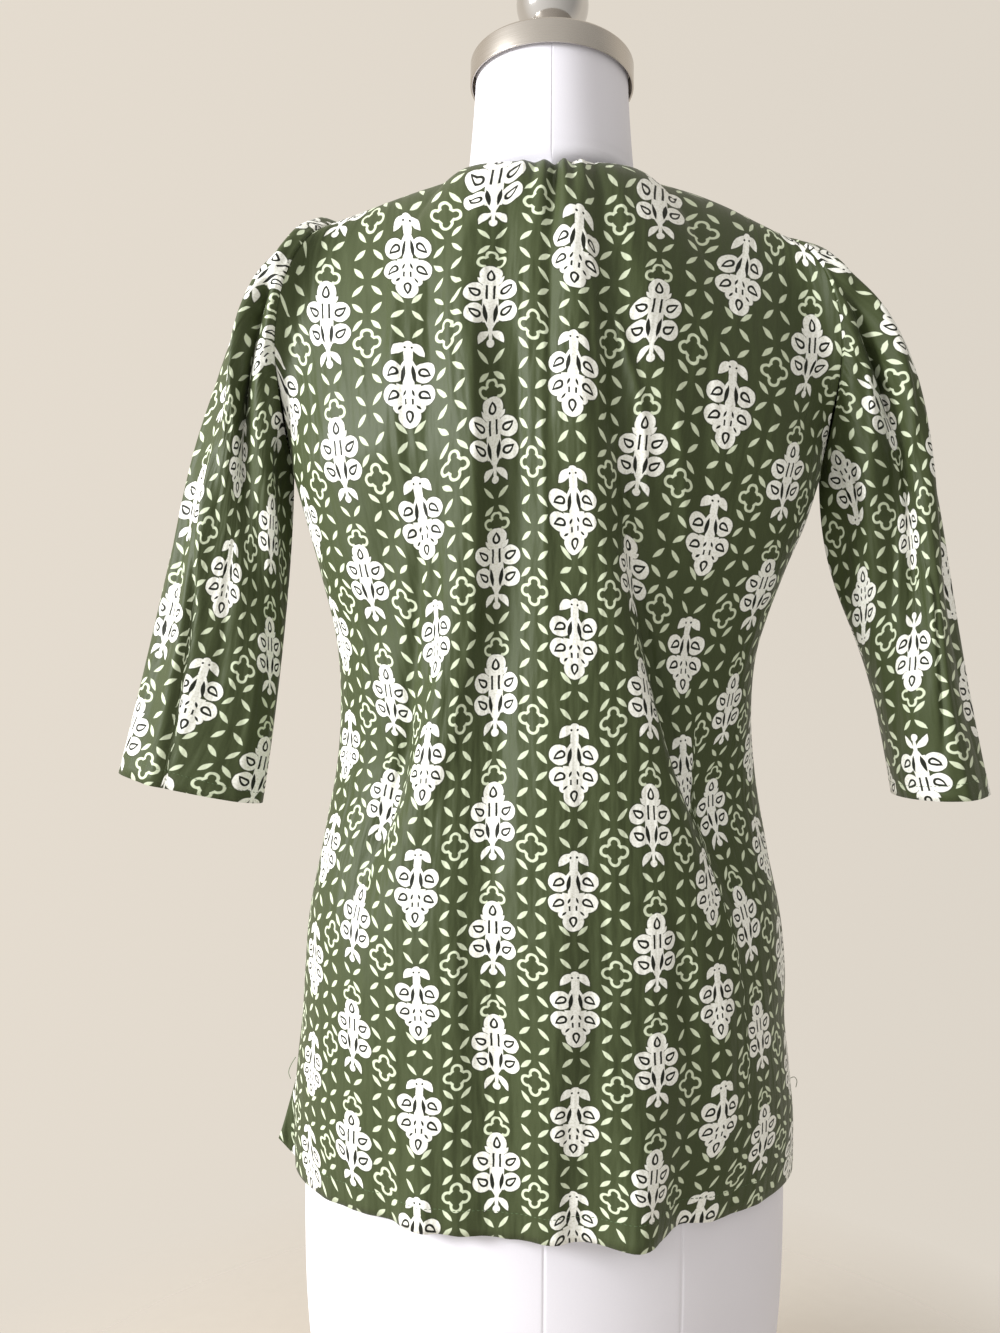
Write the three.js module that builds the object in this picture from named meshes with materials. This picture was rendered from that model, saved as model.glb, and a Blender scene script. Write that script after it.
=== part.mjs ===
// A short-sleeved printed kurti worn on a limbless dress form, in millimetres, +Z up.
// The garment's back faces -Y, +X is to the right of someone looking at its back,
// and z = 0 is the underside of the round base plate.
import * as THREE from "three";

// Driving dimensions
const CLOTH = 1.5; // wall of every cloth piece
const SEAM_GAP = 0.3; // between pieces that are sewn together
const SEAT_GAP = 0.3; // between hard pieces that rest on each other
const HEM_Z = 292;
const SLIT_TOP_Z = 362;
const SLIT_OPENING = 5; // how far the panel's edge draws back from the side at the hem
const ARMPIT_Z = 800;
// arch is how far the shoulder seam rises above a straight line.
const SHOULDER_TIPS = { left: { x: 159, z: 993, arch: 2 }, right: { x: 172, z: 984, arch: 6 } };
const NECK_POINT = { x: 66, z: 1023 };
const BACK_NECK = { y: -61, z: 1012 };
const FRONT_NECK = { y: 83, z: 940 };

const PLATE = { radius: 150, height: 10, bevel: 3 };
const POLE = { radius: 14, top: 105 };
const COLLAR = { inner: 14.3, foot: 34, neck: 20, height: 32 };
const FLANGE = { inner: 14.3, outer: 46, height: 8 };
const FORM_BOTTOM_Z = 105;
const NECK_SLOPE_Z = 1045; // above it the neck's sections tip with the cap
const CAP = { z: 1093.3, radius: 61.3, wall: 1.6, rim: 19, top: 2.5, crown: 4, tilt: 3 };
const FINIAL = { foot: 20, waist: 15, ball: 27.3, height: 70 };

// Mesh density
const BACK_COLUMNS = 48;
const BACK_LOWER_ROWS = 17;
const BACK_UPPER_ROWS = 12;
const FRONT_COLUMNS = 28;
const FRONT_LOWER_ROWS = 12;
const FRONT_UPPER_ROWS = 9;
const SLEEVE_COLUMNS = 30;
const SLEEVE_ROWS = 15;
const FORM_COLUMNS = 32;
const ROUND_SEGMENTS = 40;

// The form: half is the half width, back and front are the y of its two faces, mid is
// the y of its widest line, and square is the exponent of the section's superellipse.
const FORM_SECTIONS = [
  { z: 105, half: 150, back: -93, front: 90, mid: 0, square: 1.95 },
  { z: 112, half: 158, back: -99, front: 95, mid: 0, square: 1.95 },
  { z: 135, half: 168, back: -107, front: 101, mid: 0, square: 1.95 },
  { z: 180, half: 175, back: -112, front: 105, mid: 0, square: 1.95 },
  { z: 250, half: 178, back: -115, front: 107, mid: 0, square: 1.95 },
  { z: 340, half: 177, back: -116, front: 107, mid: 0, square: 1.95 },
  { z: 430, half: 171, back: -116, front: 107, mid: 0, square: 2.05 },
  { z: 500, half: 157, back: -107, front: 102, mid: 0, square: 2.1 },
  { z: 570, half: 138, back: -94, front: 96, mid: 0, square: 2.1 },
  { z: 640, half: 124, back: -84, front: 94, mid: 0, square: 2.1 },
  { z: 700, half: 131, back: -87, front: 103, mid: 0, square: 2.1 },
  { z: 750, half: 141, back: -94, front: 117, mid: 0, square: 2.15 },
  { z: 800, half: 152, back: -101, front: 124, mid: 0, square: 2.1 },
  { z: 850, half: 160, back: -101, front: 113, mid: 0, square: 1.95 },
  { z: 900, half: 166, back: -94, front: 92, mid: 0, square: 1.8 },
  { z: 940, half: 168, back: -82, front: 66, mid: 0, square: 1.6 },
  { z: 962, half: 165, back: -72, front: 50, mid: 0, square: 1.45 },
  { z: 978, half: 159, back: -63, front: 41, mid: 0, square: 1.35 },
  { z: 990, half: 148, back: -57, front: 36, mid: 0, square: 1.3 },
  { z: 1000, half: 125, back: -55, front: 34, mid: 0, square: 1.25 },
  { z: 1010, half: 94, back: -54, front: 34, mid: 0, square: 1.15 },
  { z: 1017, half: 73, back: -55, front: 41, mid: 0, square: 1.4 },
  { z: 1021, half: 64.5, back: -56, front: 49, mid: 0, square: 1.8 },
  { z: 1026, half: 62.5, back: -56.5, front: 53, mid: 0, square: 2 },
  { z: 1050, half: 60, back: -57, front: 58, mid: 0, square: 2 },
  { z: 1086, half: 57.5, back: -57, front: 58, mid: 0, square: 2 },
  { z: 1109.4, half: 57, back: -57, front: 57, mid: 0, square: 2 },
];

// The cloth of the body below the armpits, outer face: left and right are half widths.
const BODY_SECTIONS = [
  { z: 292, left: 186, right: 185, back: 129, front: 132, square: 1.85 },
  { z: 330, left: 187, right: 185, back: 129, front: 131, square: 1.9 },
  { z: 370, left: 184, right: 181, back: 129, front: 129, square: 2 },
  { z: 405, left: 180, right: 177, back: 129, front: 127, square: 2.1 },
  { z: 440, left: 178, right: 177, back: 128, front: 125, square: 2.15 },
  { z: 480, left: 175, right: 173, back: 125, front: 123, square: 2.2 },
  { z: 530, left: 166, right: 163, back: 118, front: 121, square: 2.15 },
  { z: 580, left: 158, right: 156, back: 111, front: 121, square: 2.1 },
  { z: 630, left: 155, right: 153, back: 106, front: 123, square: 2.1 },
  { z: 680, left: 158, right: 158, back: 105, front: 128, square: 2.1 },
  { z: 730, left: 170, right: 175, back: 108, front: 134, square: 2.15 },
  { z: 765, left: 180, right: 190, back: 111, front: 138, square: 2.15 },
  { z: 800, left: 190, right: 201, back: 114, front: 138, square: 2.2 },
];

// The edge of a panel round the armhole, from the armpit up to the shoulder tip:
// out is added to the half width, back and front are the depth of the two panels' edges.
const ARMHOLE = [
  { rise: 0, out: 0, back: 0, front: 0 },
  { rise: 0.18, out: 8, back: 27, front: 25 },
  { rise: 0.38, out: 15, back: 43, front: 38 },
  { rise: 0.6, out: 14, back: 46, front: 40 },
  { rise: 0.82, out: 7, back: 32, front: 28 },
  { rise: 1, out: 0, back: 0, front: 0 },
];

// Steep flanks that bound the loose centre of the back: inside x the cloth stands rise
// further out than outside it, and turn is how wide the flank is.
const LEFT_FLANK = [
  { z: 1000, x: -50, rise: 0, turn: 10 },
  { z: 930, x: -60, rise: 2, turn: 10 },
  { z: 830, x: -70, rise: 3, turn: 14 },
  { z: 740, x: -72, rise: 5, turn: 16 },
  { z: 650, x: -84, rise: 9, turn: 12 },
  { z: 590, x: -98, rise: 16, turn: 9 },
  { z: 540, x: -113, rise: 13, turn: 10 },
  { z: 480, x: -128, rise: 5, turn: 13 },
  { z: 420, x: -140, rise: 0, turn: 14 },
];
const RIGHT_FLANK = [
  { z: 1000, x: 24, rise: 0, turn: 6 },
  { z: 930, x: 29, rise: 4, turn: 6 },
  { z: 830, x: 35, rise: 7, turn: 7 },
  { z: 740, x: 48, rise: 13, turn: 7 },
  { z: 660, x: 68, rise: 18, turn: 7 },
  { z: 590, x: 90, rise: 18, turn: 7 },
  { z: 540, x: 106, rise: 13, turn: 9 },
  { z: 480, x: 120, rise: 5, turn: 12 },
  { z: 420, x: 132, rise: 0, turn: 14 },
];

// Soft folds: x is where a fold runs at each height as seen from behind, out is how far it
// stands out of the cloth (in, where negative) and wide is its half width.
const BACK_FOLDS = {
  centreTrough: [
    { z: 990, x: -28, out: 0, wide: 14 },
    { z: 930, x: -30, out: -4, wide: 14 },
    { z: 800, x: -31, out: -9, wide: 17 },
    { z: 640, x: -33, out: -11, wide: 20 },
    { z: 500, x: -40, out: -8, wide: 20 },
    { z: 380, x: -36, out: -6, wide: 18 },
    { z: 280, x: -30, out: -5, wide: 18 },
  ],
  leftRidge: [
    { z: 985, x: -52, out: 0, wide: 9 },
    { z: 930, x: -60, out: 3, wide: 11 },
    { z: 850, x: -55, out: 5, wide: 13 },
    { z: 760, x: -50, out: 6, wide: 15 },
    { z: 690, x: -58, out: 5, wide: 15 },
    { z: 610, x: -78, out: 5, wide: 14 },
    { z: 520, x: -98, out: 2, wide: 14 },
    { z: 470, x: -108, out: 0, wide: 14 },
  ],
  neckPleat: [
    { z: 1012, x: 15, out: 1.5, wide: 7 },
    { z: 980, x: 15, out: 4, wide: 9 },
    { z: 900, x: 17, out: 5, wide: 12 },
    { z: 800, x: 24, out: 4, wide: 16 },
    { z: 700, x: 38, out: 2, wide: 18 },
    { z: 640, x: 50, out: 0, wide: 18 },
  ],
  tuckTrough: [
    { z: 1014, x: 3, out: -1.5, wide: 4 },
    { z: 960, x: 1, out: -3, wide: 5 },
    { z: 900, x: -1, out: -2, wide: 6 },
    { z: 850, x: -3, out: 0, wide: 6 },
  ],
  rightBlade: [
    { z: 980, x: 62, out: 0, wide: 12 },
    { z: 920, x: 68, out: 3, wide: 13 },
    { z: 840, x: 76, out: 3, wide: 15 },
    { z: 760, x: 86, out: 0, wide: 16 },
  ],
  leftBlade: [
    { z: 985, x: -96, out: 0, wide: 12 },
    { z: 920, x: -104, out: 3, wide: 13 },
    { z: 830, x: -106, out: 3, wide: 14 },
    { z: 740, x: -112, out: -3, wide: 13 },
    { z: 660, x: -120, out: 0, wide: 12 },
  ],
  hipRidge: [
    { z: 560, x: 10, out: 0, wide: 14 },
    { z: 480, x: 6, out: 3, wide: 12 },
    { z: 400, x: 8, out: 4, wide: 12 },
    { z: 280, x: 4, out: 3, wide: 14 },
  ],
  hipTrough: [
    { z: 520, x: 36, out: 0, wide: 10 },
    { z: 450, x: 34, out: -3, wide: 9 },
    { z: 380, x: 30, out: -2, wide: 10 },
    { z: 320, x: 26, out: 0, wide: 10 },
  ],
  hemPoint: [
    { z: 430, x: 62, out: 0, wide: 26 },
    { z: 370, x: 60, out: 7, wide: 24 },
    { z: 320, x: 58, out: 17, wide: 19 },
    { z: 280, x: 56, out: 24, wide: 16 },
  ],
  hemRightHollow: [
    { z: 400, x: 96, out: 0, wide: 14 },
    { z: 330, x: 94, out: -4, wide: 13 },
    { z: 280, x: 92, out: -5, wide: 12 },
  ],
  hemLeftRidge: [
    { z: 410, x: -82, out: 0, wide: 11 },
    { z: 350, x: -80, out: 4, wide: 10 },
    { z: 280, x: -78, out: 5, wide: 10 },
  ],
  hemLeftHollow: [
    { z: 380, x: -112, out: 0, wide: 16 },
    { z: 280, x: -110, out: -4, wide: 16 },
  ],
};

const FRONT_FOLDS = {
  leftBust: [
    { z: 800, x: -62, out: 0, wide: 22 },
    { z: 730, x: -64, out: 5, wide: 20 },
    { z: 600, x: -72, out: 10, wide: 20 },
    { z: 450, x: -84, out: 8, wide: 24 },
    { z: 280, x: -92, out: 9, wide: 24 },
  ],
  rightBust: [
    { z: 800, x: 60, out: 0, wide: 22 },
    { z: 720, x: 63, out: 6, wide: 19 },
    { z: 600, x: 70, out: 11, wide: 19 },
    { z: 450, x: 80, out: 9, wide: 23 },
    { z: 280, x: 88, out: 12, wide: 22 },
  ],
  centreHollow: [
    { z: 780, x: 2, out: 0, wide: 30 },
    { z: 650, x: 4, out: -7, wide: 26 },
    { z: 480, x: 6, out: -8, wide: 28 },
    { z: 280, x: 8, out: -7, wide: 30 },
  ],
  leftSide: [
    { z: 740, x: -124, out: 0, wide: 14 },
    { z: 620, x: -120, out: -8, wide: 13 },
    { z: 480, x: -134, out: -4, wide: 14 },
    { z: 400, x: -140, out: 0, wide: 14 },
  ],
  rightSide: [
    { z: 740, x: 124, out: 0, wide: 14 },
    { z: 620, x: 118, out: -8, wide: 13 },
    { z: 480, x: 132, out: -5, wide: 14 },
    { z: 400, x: 140, out: 0, wide: 14 },
  ],
  leftYoke: [
    { z: 980, x: -100, out: 0, wide: 10 },
    { z: 900, x: -112, out: 4, wide: 13 },
    { z: 820, x: -116, out: 0, wide: 14 },
  ],
  rightYoke: [
    { z: 980, x: 100, out: 0, wide: 10 },
    { z: 890, x: 110, out: 4, wide: 13 },
    { z: 820, x: 114, out: 0, wide: 14 },
  ],
};

// The sleeves. side is -1 for the one on the left of the back view. The cuff is an ellipse
// of half sizes across and deep about x, y, z, tipped by lean, its lines moved round by twist.
// The crown line and the underarm line leave the armhole by reach and fall, and come to
// the cuff from back and rise.
const SLEEVES = {
  left: {
    side: -1,
    cuff: { x: 269, y: 4, z: 567, across: 55, deep: 30, lean: 12, twist: -14, square: 2 },
    crown: { reach: 84, fall: -3, back: 52, rise: 205 },
    under: { reach: 0, fall: 50, back: 16, rise: 110 },
  },
  right: {
    side: 1,
    cuff: { x: 295, y: 6, z: 566, across: 31, deep: 53, lean: 3, twist: 4, square: 2 },
    crown: { reach: 134, fall: 55, back: 63, rise: 220 },
    under: { reach: 2, fall: 104, back: 20, rise: 137 },
  },
};

// Folds of a sleeve: at is the angle round the tube in degrees (0 outward, 90 to the back,
// 180 to the body), down is 0 at the armhole and 1 at the cuff, wide is in degrees.
const SLEEVE_FOLDS = {
  left: {
    seamFold: [
      { down: 0.0, at: 116, out: 0, wide: 13 },
      { down: 0.16, at: 118, out: 8, wide: 13 },
      { down: 0.35, at: 126, out: 8, wide: 14 },
      { down: 0.6, at: 140, out: 0, wide: 15 },
    ],
    seamGroove: [
      { down: 0.02, at: 92, out: 0, wide: 11 },
      { down: 0.18, at: 94, out: -10, wide: 11 },
      { down: 0.38, at: 100, out: -9, wide: 12 },
      { down: 0.62, at: 108, out: 0, wide: 14 },
    ],
    crownFold: [
      { down: 0.02, at: 70, out: 0, wide: 11 },
      { down: 0.18, at: 70, out: 6, wide: 11 },
      { down: 0.4, at: 76, out: 5, wide: 12 },
      { down: 0.6, at: 82, out: 0, wide: 14 },
    ],
    crownGroove: [
      { down: 0.05, at: 46, out: 0, wide: 12 },
      { down: 0.22, at: 46, out: -7, wide: 12 },
      { down: 0.42, at: 50, out: -5, wide: 14 },
      { down: 0.62, at: 54, out: 0, wide: 16 },
    ],
    crease: [
      { down: 0.42, at: 62, out: 0, wide: 12 },
      { down: 0.62, at: 60, out: 7, wide: 12 },
      { down: 0.85, at: 58, out: 8, wide: 13 },
      { down: 1, at: 56, out: 5, wide: 14 },
    ],
    frontGroove: [
      { down: 0.05, at: -80, out: 0, wide: 14 },
      { down: 0.25, at: -82, out: -8, wide: 14 },
      { down: 0.5, at: -88, out: -6, wide: 16 },
      { down: 0.75, at: -94, out: 0, wide: 16 },
    ],
  },
  right: {
    seamFold: [
      { down: 0.0, at: 118, out: 0, wide: 14 },
      { down: 0.16, at: 118, out: 9, wide: 15 },
      { down: 0.4, at: 128, out: 9, wide: 18 },
      { down: 0.62, at: 140, out: 4, wide: 20 },
      { down: 0.8, at: 150, out: 0, wide: 20 },
    ],
    deepGroove: [
      { down: 0.02, at: 88, out: 0, wide: 11 },
      { down: 0.14, at: 90, out: -12, wide: 11 },
      { down: 0.4, at: 96, out: -16, wide: 13 },
      { down: 0.6, at: 106, out: -13, wide: 14 },
      { down: 0.85, at: 118, out: 0, wide: 15 },
    ],
    outerRidge: [
      { down: 0.08, at: 56, out: 0, wide: 15 },
      { down: 0.25, at: 58, out: 6, wide: 15 },
      { down: 0.5, at: 62, out: 5, wide: 16 },
      { down: 0.75, at: 66, out: 0, wide: 16 },
    ],
    crease: [
      { down: 0.45, at: 30, out: 0, wide: 12 },
      { down: 0.65, at: 30, out: 5, wide: 12 },
      { down: 0.88, at: 30, out: 6, wide: 13 },
      { down: 1, at: 30, out: 4, wide: 14 },
    ],
    frontGroove: [
      { down: 0.05, at: -84, out: 0, wide: 14 },
      { down: 0.28, at: -86, out: -9, wide: 15 },
      { down: 0.55, at: -92, out: -6, wide: 16 },
      { down: 0.8, at: -98, out: 0, wide: 16 },
    ],
  },
};

const BACK = {
  face: -1,
  columns: BACK_COLUMNS,
  lowerRows: BACK_LOWER_ROWS,
  upperRows: BACK_UPPER_ROWS,
  folds: BACK_FOLDS,
  guides: [
    { at: -0.42, line: LEFT_FLANK },
    { at: 0.3, line: RIGHT_FLANK },
  ],
  crowd: [
    { at: -0.42, more: 0.9, wide: 0.1 },
    { at: 0.3, more: 2.6, wide: 0.07 },
  ],
};
const FRONT = {
  face: 1,
  columns: FRONT_COLUMNS,
  lowerRows: FRONT_LOWER_ROWS,
  upperRows: FRONT_UPPER_ROWS,
  folds: FRONT_FOLDS,
  guides: [],
  crowd: [],
};

const COLOURS = {
  cloth: 0x56663c,
  cover: 0xe9e6ec,
  metal: 0xb4aa98,
  steel: 0x8d9095,
};

const radians = (degrees) => (degrees * Math.PI) / 180;
const clamp01 = (t) => Math.min(1, Math.max(0, t));
const lerp = (a, b, t) => a + (b - a) * t;

// The value of one column of a table at a key, on a smooth curve through its rows.
function read(table, key, column, at) {
  const rows = table[0][key] <= table[table.length - 1][key] ? table : [...table].reverse();
  const last = rows.length - 1;
  if (at <= rows[0][key]) return rows[0][column];
  if (at >= rows[last][key]) return rows[last][column];
  let k = 0;
  while (rows[k + 1][key] < at) k += 1;
  const slope = (i) => {
    const a = rows[Math.max(0, i - 1)];
    const b = rows[Math.min(last, i + 1)];
    return (b[column] - a[column]) / (b[key] - a[key]);
  };
  const span = rows[k + 1][key] - rows[k][key];
  const t = (at - rows[k][key]) / span;
  const [t2, t3] = [t * t, t * t * t];
  return (
    (2 * t3 - 3 * t2 + 1) * rows[k][column] +
    (t3 - 2 * t2 + t) * span * slope(k) +
    (3 * t2 - 2 * t3) * rows[k + 1][column] +
    (t3 - t2) * span * slope(k + 1)
  );
}

// Whether a height lies within a fold's table, where alone the fold is worked out.
function covers(table, key, at) {
  const ends = [table[0][key], table[table.length - 1][key]];
  return at >= Math.min(...ends) && at <= Math.max(...ends);
}

// Cosine and sine of an angle on a superellipse of that exponent.
function superellipse(angle, square) {
  const bend = (v) => Math.sign(v) * Math.abs(v) ** (2 / square);
  return { across: bend(Math.sin(angle)), along: bend(Math.cos(angle)) };
}

// Sum of the folds of a panel at a point of it seen from behind.
function foldHeight(folds, x, z) {
  let height = 0;
  for (const fold of Object.values(folds)) {
    if (!covers(fold, "z", z)) continue;
    const offset = (x - read(fold, "z", "x", z)) / read(fold, "z", "wide", z);
    height += read(fold, "z", "out", z) * Math.exp(-offset * offset);
  }
  return height;
}

// How far the loose centre of the back stands out at a point.
function centreHeight(x, z) {
  const flank = (table, inward) => {
    if (!covers(table, "z", z)) return 0;
    const past = (inward * (x - read(table, "z", "x", z))) / read(table, "z", "turn", z);
    return (read(table, "z", "rise", z) * (Math.tanh(past) - 1)) / 2;
  };
  const away = Math.min(1, Math.abs(x) / 160);
  return (flank(LEFT_FLANK, 1) + flank(RIGHT_FLANK, -1)) * (1 - away ** 6);
}

// A point of the body's cloth below the armpits. turn is 0 at the centre of the panel
// and -1 or 1 at its side seams; face is -1 for the back panel and 1 for the front.
function lowerPoint(turn, z, face) {
  const at = (column) => read(BODY_SECTIONS, "z", column, z);
  const { across, along } = superellipse((turn * Math.PI) / 2, at("square"));
  const half = turn < 0 ? at("left") : at("right");
  const depth = face < 0 ? at("back") : at("front");
  const edgeX = half * across;
  return new THREE.Vector3(edgeX, face * depth * along, z);
}

// The top edge of a panel: neckline, then shoulder seam, by its share of the half width.
function topPoint(turn, face) {
  const neck = face < 0 ? BACK_NECK : FRONT_NECK;
  const neckShare = face < 0 ? 0.46 : 0.56;
  const share = Math.abs(turn);
  const sign = Math.sign(turn);
  if (share <= neckShare) {
    const angle = ((share / neckShare) * Math.PI) / 2;
    const drop = (1 - Math.sin(angle) ** 2) ** (face < 0 ? 1 : 0.9);
    return new THREE.Vector3(
      sign * NECK_POINT.x * Math.sin(angle),
      lerp((face * SEAM_GAP) / 2, neck.y, Math.cos(angle)),
      lerp(NECK_POINT.z, neck.z, drop),
    );
  }
  const t = (share - neckShare) / (1 - neckShare);
  const tip = sign < 0 ? SHOULDER_TIPS.left : SHOULDER_TIPS.right;
  return new THREE.Vector3(
    sign * lerp(NECK_POINT.x, tip.x, t),
    (face * SEAM_GAP) / 2,
    lerp(NECK_POINT.z, tip.z, t) + tip.arch * Math.sin(Math.PI * t),
  );
}

// A point of the body's cloth above the armpits: each column bends from the armpit
// section over the shoulder blades, or the chest, to the top edge.
function upperPoint(turn, rise, face) {
  const foot = lowerPoint(turn, ARMPIT_Z, face);
  const head = topPoint(turn, face);
  const share = Math.abs(turn);
  const angle = (rise * Math.PI) / 2;
  const overTop = face < 0 ? lerp(0.6, 0.62, share) : lerp(1.1, 0.62, share);
  const inward = Math.cos(angle) ** overTop;
  const climb = lerp(rise, Math.sin(angle), face < 0 ? 0.55 : 0.35);
  const point = new THREE.Vector3(
    lerp(head.x, foot.x, lerp(1 - rise, Math.cos(angle), 0.6)),
    lerp(head.y, foot.y, inward),
    lerp(foot.z, head.z, climb),
  );
  const edge = share ** 5;
  point.x += Math.sign(turn) * edge * read(ARMHOLE, "rise", "out", rise);
  const edgeDepth = read(ARMHOLE, "rise", face < 0 ? "back" : "front", rise);
  point.y += face * edgeDepth * share ** 7;
  return point;
}

// Where the columns of a panel lie, as shares from -1 to 1: crowd names the places where
// they stand closer together.
function columnShares(columns, crowd) {
  const steps = 400;
  const sums = [0];
  for (let k = 0; k < steps; k += 1) {
    const share = (2 * (k + 0.5)) / steps - 1;
    const more = crowd.reduce((sum, c) => sum + c.more * Math.exp(-(((share - c.at) / c.wide) ** 2)), 0);
    sums.push(sums[k] + 1 + more);
  }
  const shares = [];
  let k = 0;
  for (let i = 0; i <= columns; i += 1) {
    const target = (sums[steps] * i) / columns;
    while (k < steps - 1 && sums[k + 1] < target) k += 1;
    const part = clamp01((target - sums[k]) / (sums[k + 1] - sums[k]));
    shares.push((2 * (k + part)) / steps - 1);
  }
  return shares;
}

// The turn at which a row of the panel reaches x.
function turnAtX(rowPoint, x) {
  let [near, far] = [0, Math.sign(x)];
  for (let k = 0; k < 24; k += 1) {
    const middle = (near + far) / 2;
    if (Math.abs(rowPoint(middle).x) < Math.abs(x)) near = middle;
    else far = middle;
  }
  return near;
}

// The turns of a row's columns, drawn along so that the guides' columns follow their lines.
function rowTurns(rowPoint, shares, guides) {
  const z = rowPoint(0).z;
  const knots = [{ share: -1, turn: -1 }];
  for (const guide of guides) {
    knots.push({ share: guide.at, turn: turnAtX(rowPoint, read(guide.line, "z", "x", z)) });
  }
  knots.push({ share: 1, turn: 1 });
  return shares.map((share) => {
    let k = 0;
    while (k < knots.length - 2 && knots[k + 1].share < share) k += 1;
    const part = (share - knots[k].share) / (knots[k + 1].share - knots[k].share);
    return lerp(knots[k].turn, knots[k + 1].turn, part);
  });
}

// The flat grid of a panel: rows of points from the hem to the top edge.
function panelGrid({ face, columns, lowerRows, upperRows, folds, guides, crowd }) {
  const shares = columnShares(columns, crowd);
  const grid = [];
  const addRow = (rowPoint) => grid.push(rowTurns(rowPoint, shares, guides).map(rowPoint));
  for (let j = 0; j <= lowerRows; j += 1) {
    const z = lerp(HEM_Z, ARMPIT_Z, j / lowerRows);
    addRow((turn) => lowerPoint(turn, z, face));
  }
  for (let j = 1; j <= upperRows; j += 1) {
    const rise = (j / upperRows) ** 0.9;
    addRow((turn) => upperPoint(turn, rise, face));
  }
  const normals = gridNormals(grid, false);
  const moved = grid.map((row, j) =>
    row.map((p, i) => {
      const share = Math.abs(shares[i]);
      const fade = (1 - share ** 8) * (j === grid.length - 1 ? 0.4 : 1);
      const height = foldHeight(folds, p.x, p.z) + (face < 0 ? centreHeight(p.x, p.z) : 0);
      return p.clone().addScaledVector(normals[j][i], height * fade);
    }),
  );
  openSeams(moved, face);
  return moved;
}

// The direction in which a panel's wall lies under its outer face. Along the side and
// shoulder seams it keeps to the seam's own plane, so that the panels' edges stay apart.
function panelNormals(grid, lowerRows) {
  const normals = gridNormals(grid, false);
  const last = grid[0].length - 1;
  const flatten = (normal) => normal.setY(0).normalize();
  for (let j = 0; j <= lowerRows; j += 1) for (const i of [0, last]) flatten(normals[j][i]);
  grid[grid.length - 1].forEach((p, i) => {
    if (Math.abs(p.x) > NECK_POINT.x - 1) flatten(normals[grid.length - 1][i]);
  });
  return normals;
}

// Draws the panel's edges back from the side seams, slits and shoulder seams, and lets
// the back's left corner flare out.
function openSeams(grid, face) {
  const half = SEAM_GAP / 2;
  grid.forEach((row) => {
    const last = row.length - 1;
    for (const i of [0, last]) {
      const open = clamp01((SLIT_TOP_Z - row[i].z) / (SLIT_TOP_Z - HEM_Z));
      row[i].y += face * (half + SLIT_OPENING * open);
      const flare = face < 0 && i === 0 ? open ** 1.5 : 0;
      row[i].x -= 13 * flare;
      row[i].z += 14 * flare;
    }
  });
  if (face < 0) {
    grid[0][1].x -= 5;
    grid[0][1].z += 5;
  }
}

// Unit normals of a grid of points, to the right of its columns seen from its rows.
function gridNormals(grid, closed) {
  const rows = grid.length;
  const columns = grid[0].length;
  return grid.map((row, j) =>
    row.map((_, i) => {
      const left = closed ? (i + columns - 1) % columns : Math.max(0, i - 1);
      const right = closed ? (i + 1) % columns : Math.min(columns - 1, i + 1);
      const across = row[right].clone().sub(row[left]);
      const up = grid[Math.min(rows - 1, j + 1)][i].clone().sub(grid[Math.max(0, j - 1)][i]);
      return across.cross(up).normalize();
    }),
  );
}

// A closed wall: the grid is its outer face, and the inner one lies wall inside it.
// outward is 1 where the grid's normals point out of the garment and -1 where they point in.
function wallGeometry(grid, normals, { wall, closed, outward }) {
  const rows = grid.length;
  const columns = grid[0].length;
  const outer = grid.flat();
  const inner = grid.flatMap((row, j) =>
    row.map((p, i) => p.clone().addScaledVector(normals[j][i], -outward * wall)),
  );
  const index = [];
  const quad = (a, b, c, d) => index.push(a, b, c, a, c, d);
  const at = (j, i) => j * columns + (i % columns);
  const shift = outer.length;
  const steps = closed ? columns : columns - 1;
  for (let j = 0; j < rows - 1; j += 1) {
    for (let i = 0; i < steps; i += 1) {
      const [a, b, c, d] = [at(j, i), at(j, i + 1), at(j + 1, i + 1), at(j + 1, i)];
      quad(a, b, c, d);
      quad(a + shift, d + shift, c + shift, b + shift);
    }
  }
  for (let i = 0; i < steps; i += 1) {
    quad(at(0, i), at(0, i) + shift, at(0, i + 1) + shift, at(0, i + 1));
    const top = rows - 1;
    quad(at(top, i), at(top, i + 1), at(top, i + 1) + shift, at(top, i) + shift);
  }
  if (!closed) {
    const end = columns - 1;
    for (let j = 0; j < rows - 1; j += 1) {
      quad(at(j, 0), at(j + 1, 0), at(j + 1, 0) + shift, at(j, 0) + shift);
      quad(at(j, end), at(j, end) + shift, at(j + 1, end) + shift, at(j + 1, end));
    }
  }
  if (outward < 0) for (let k = 0; k < index.length; k += 3) index.splice(k, 3, index[k], index[k + 2], index[k + 1]);
  return geometryOf([...outer, ...inner], index);
}

function geometryOf(points, index) {
  const geometry = new THREE.BufferGeometry();
  geometry.setAttribute("position", new THREE.Float32BufferAttribute(points.flatMap((p) => [p.x, p.y, p.z]), 3));
  geometry.setIndex(index);
  geometry.computeVertexNormals();
  return geometry;
}

// A point of the armhole's edge by the sleeve's angle: 0 is the shoulder tip and 180 the armpit.
function armholePoint(side, degrees) {
  const toBack = degrees >= 0;
  const rise = 0.5 + 0.5 * Math.cos(radians(degrees));
  const edge = upperPoint(side, rise, toBack ? -1 : 1);
  edge.x += side * (SEAM_GAP + CLOTH);
  return edge;
}

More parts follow.
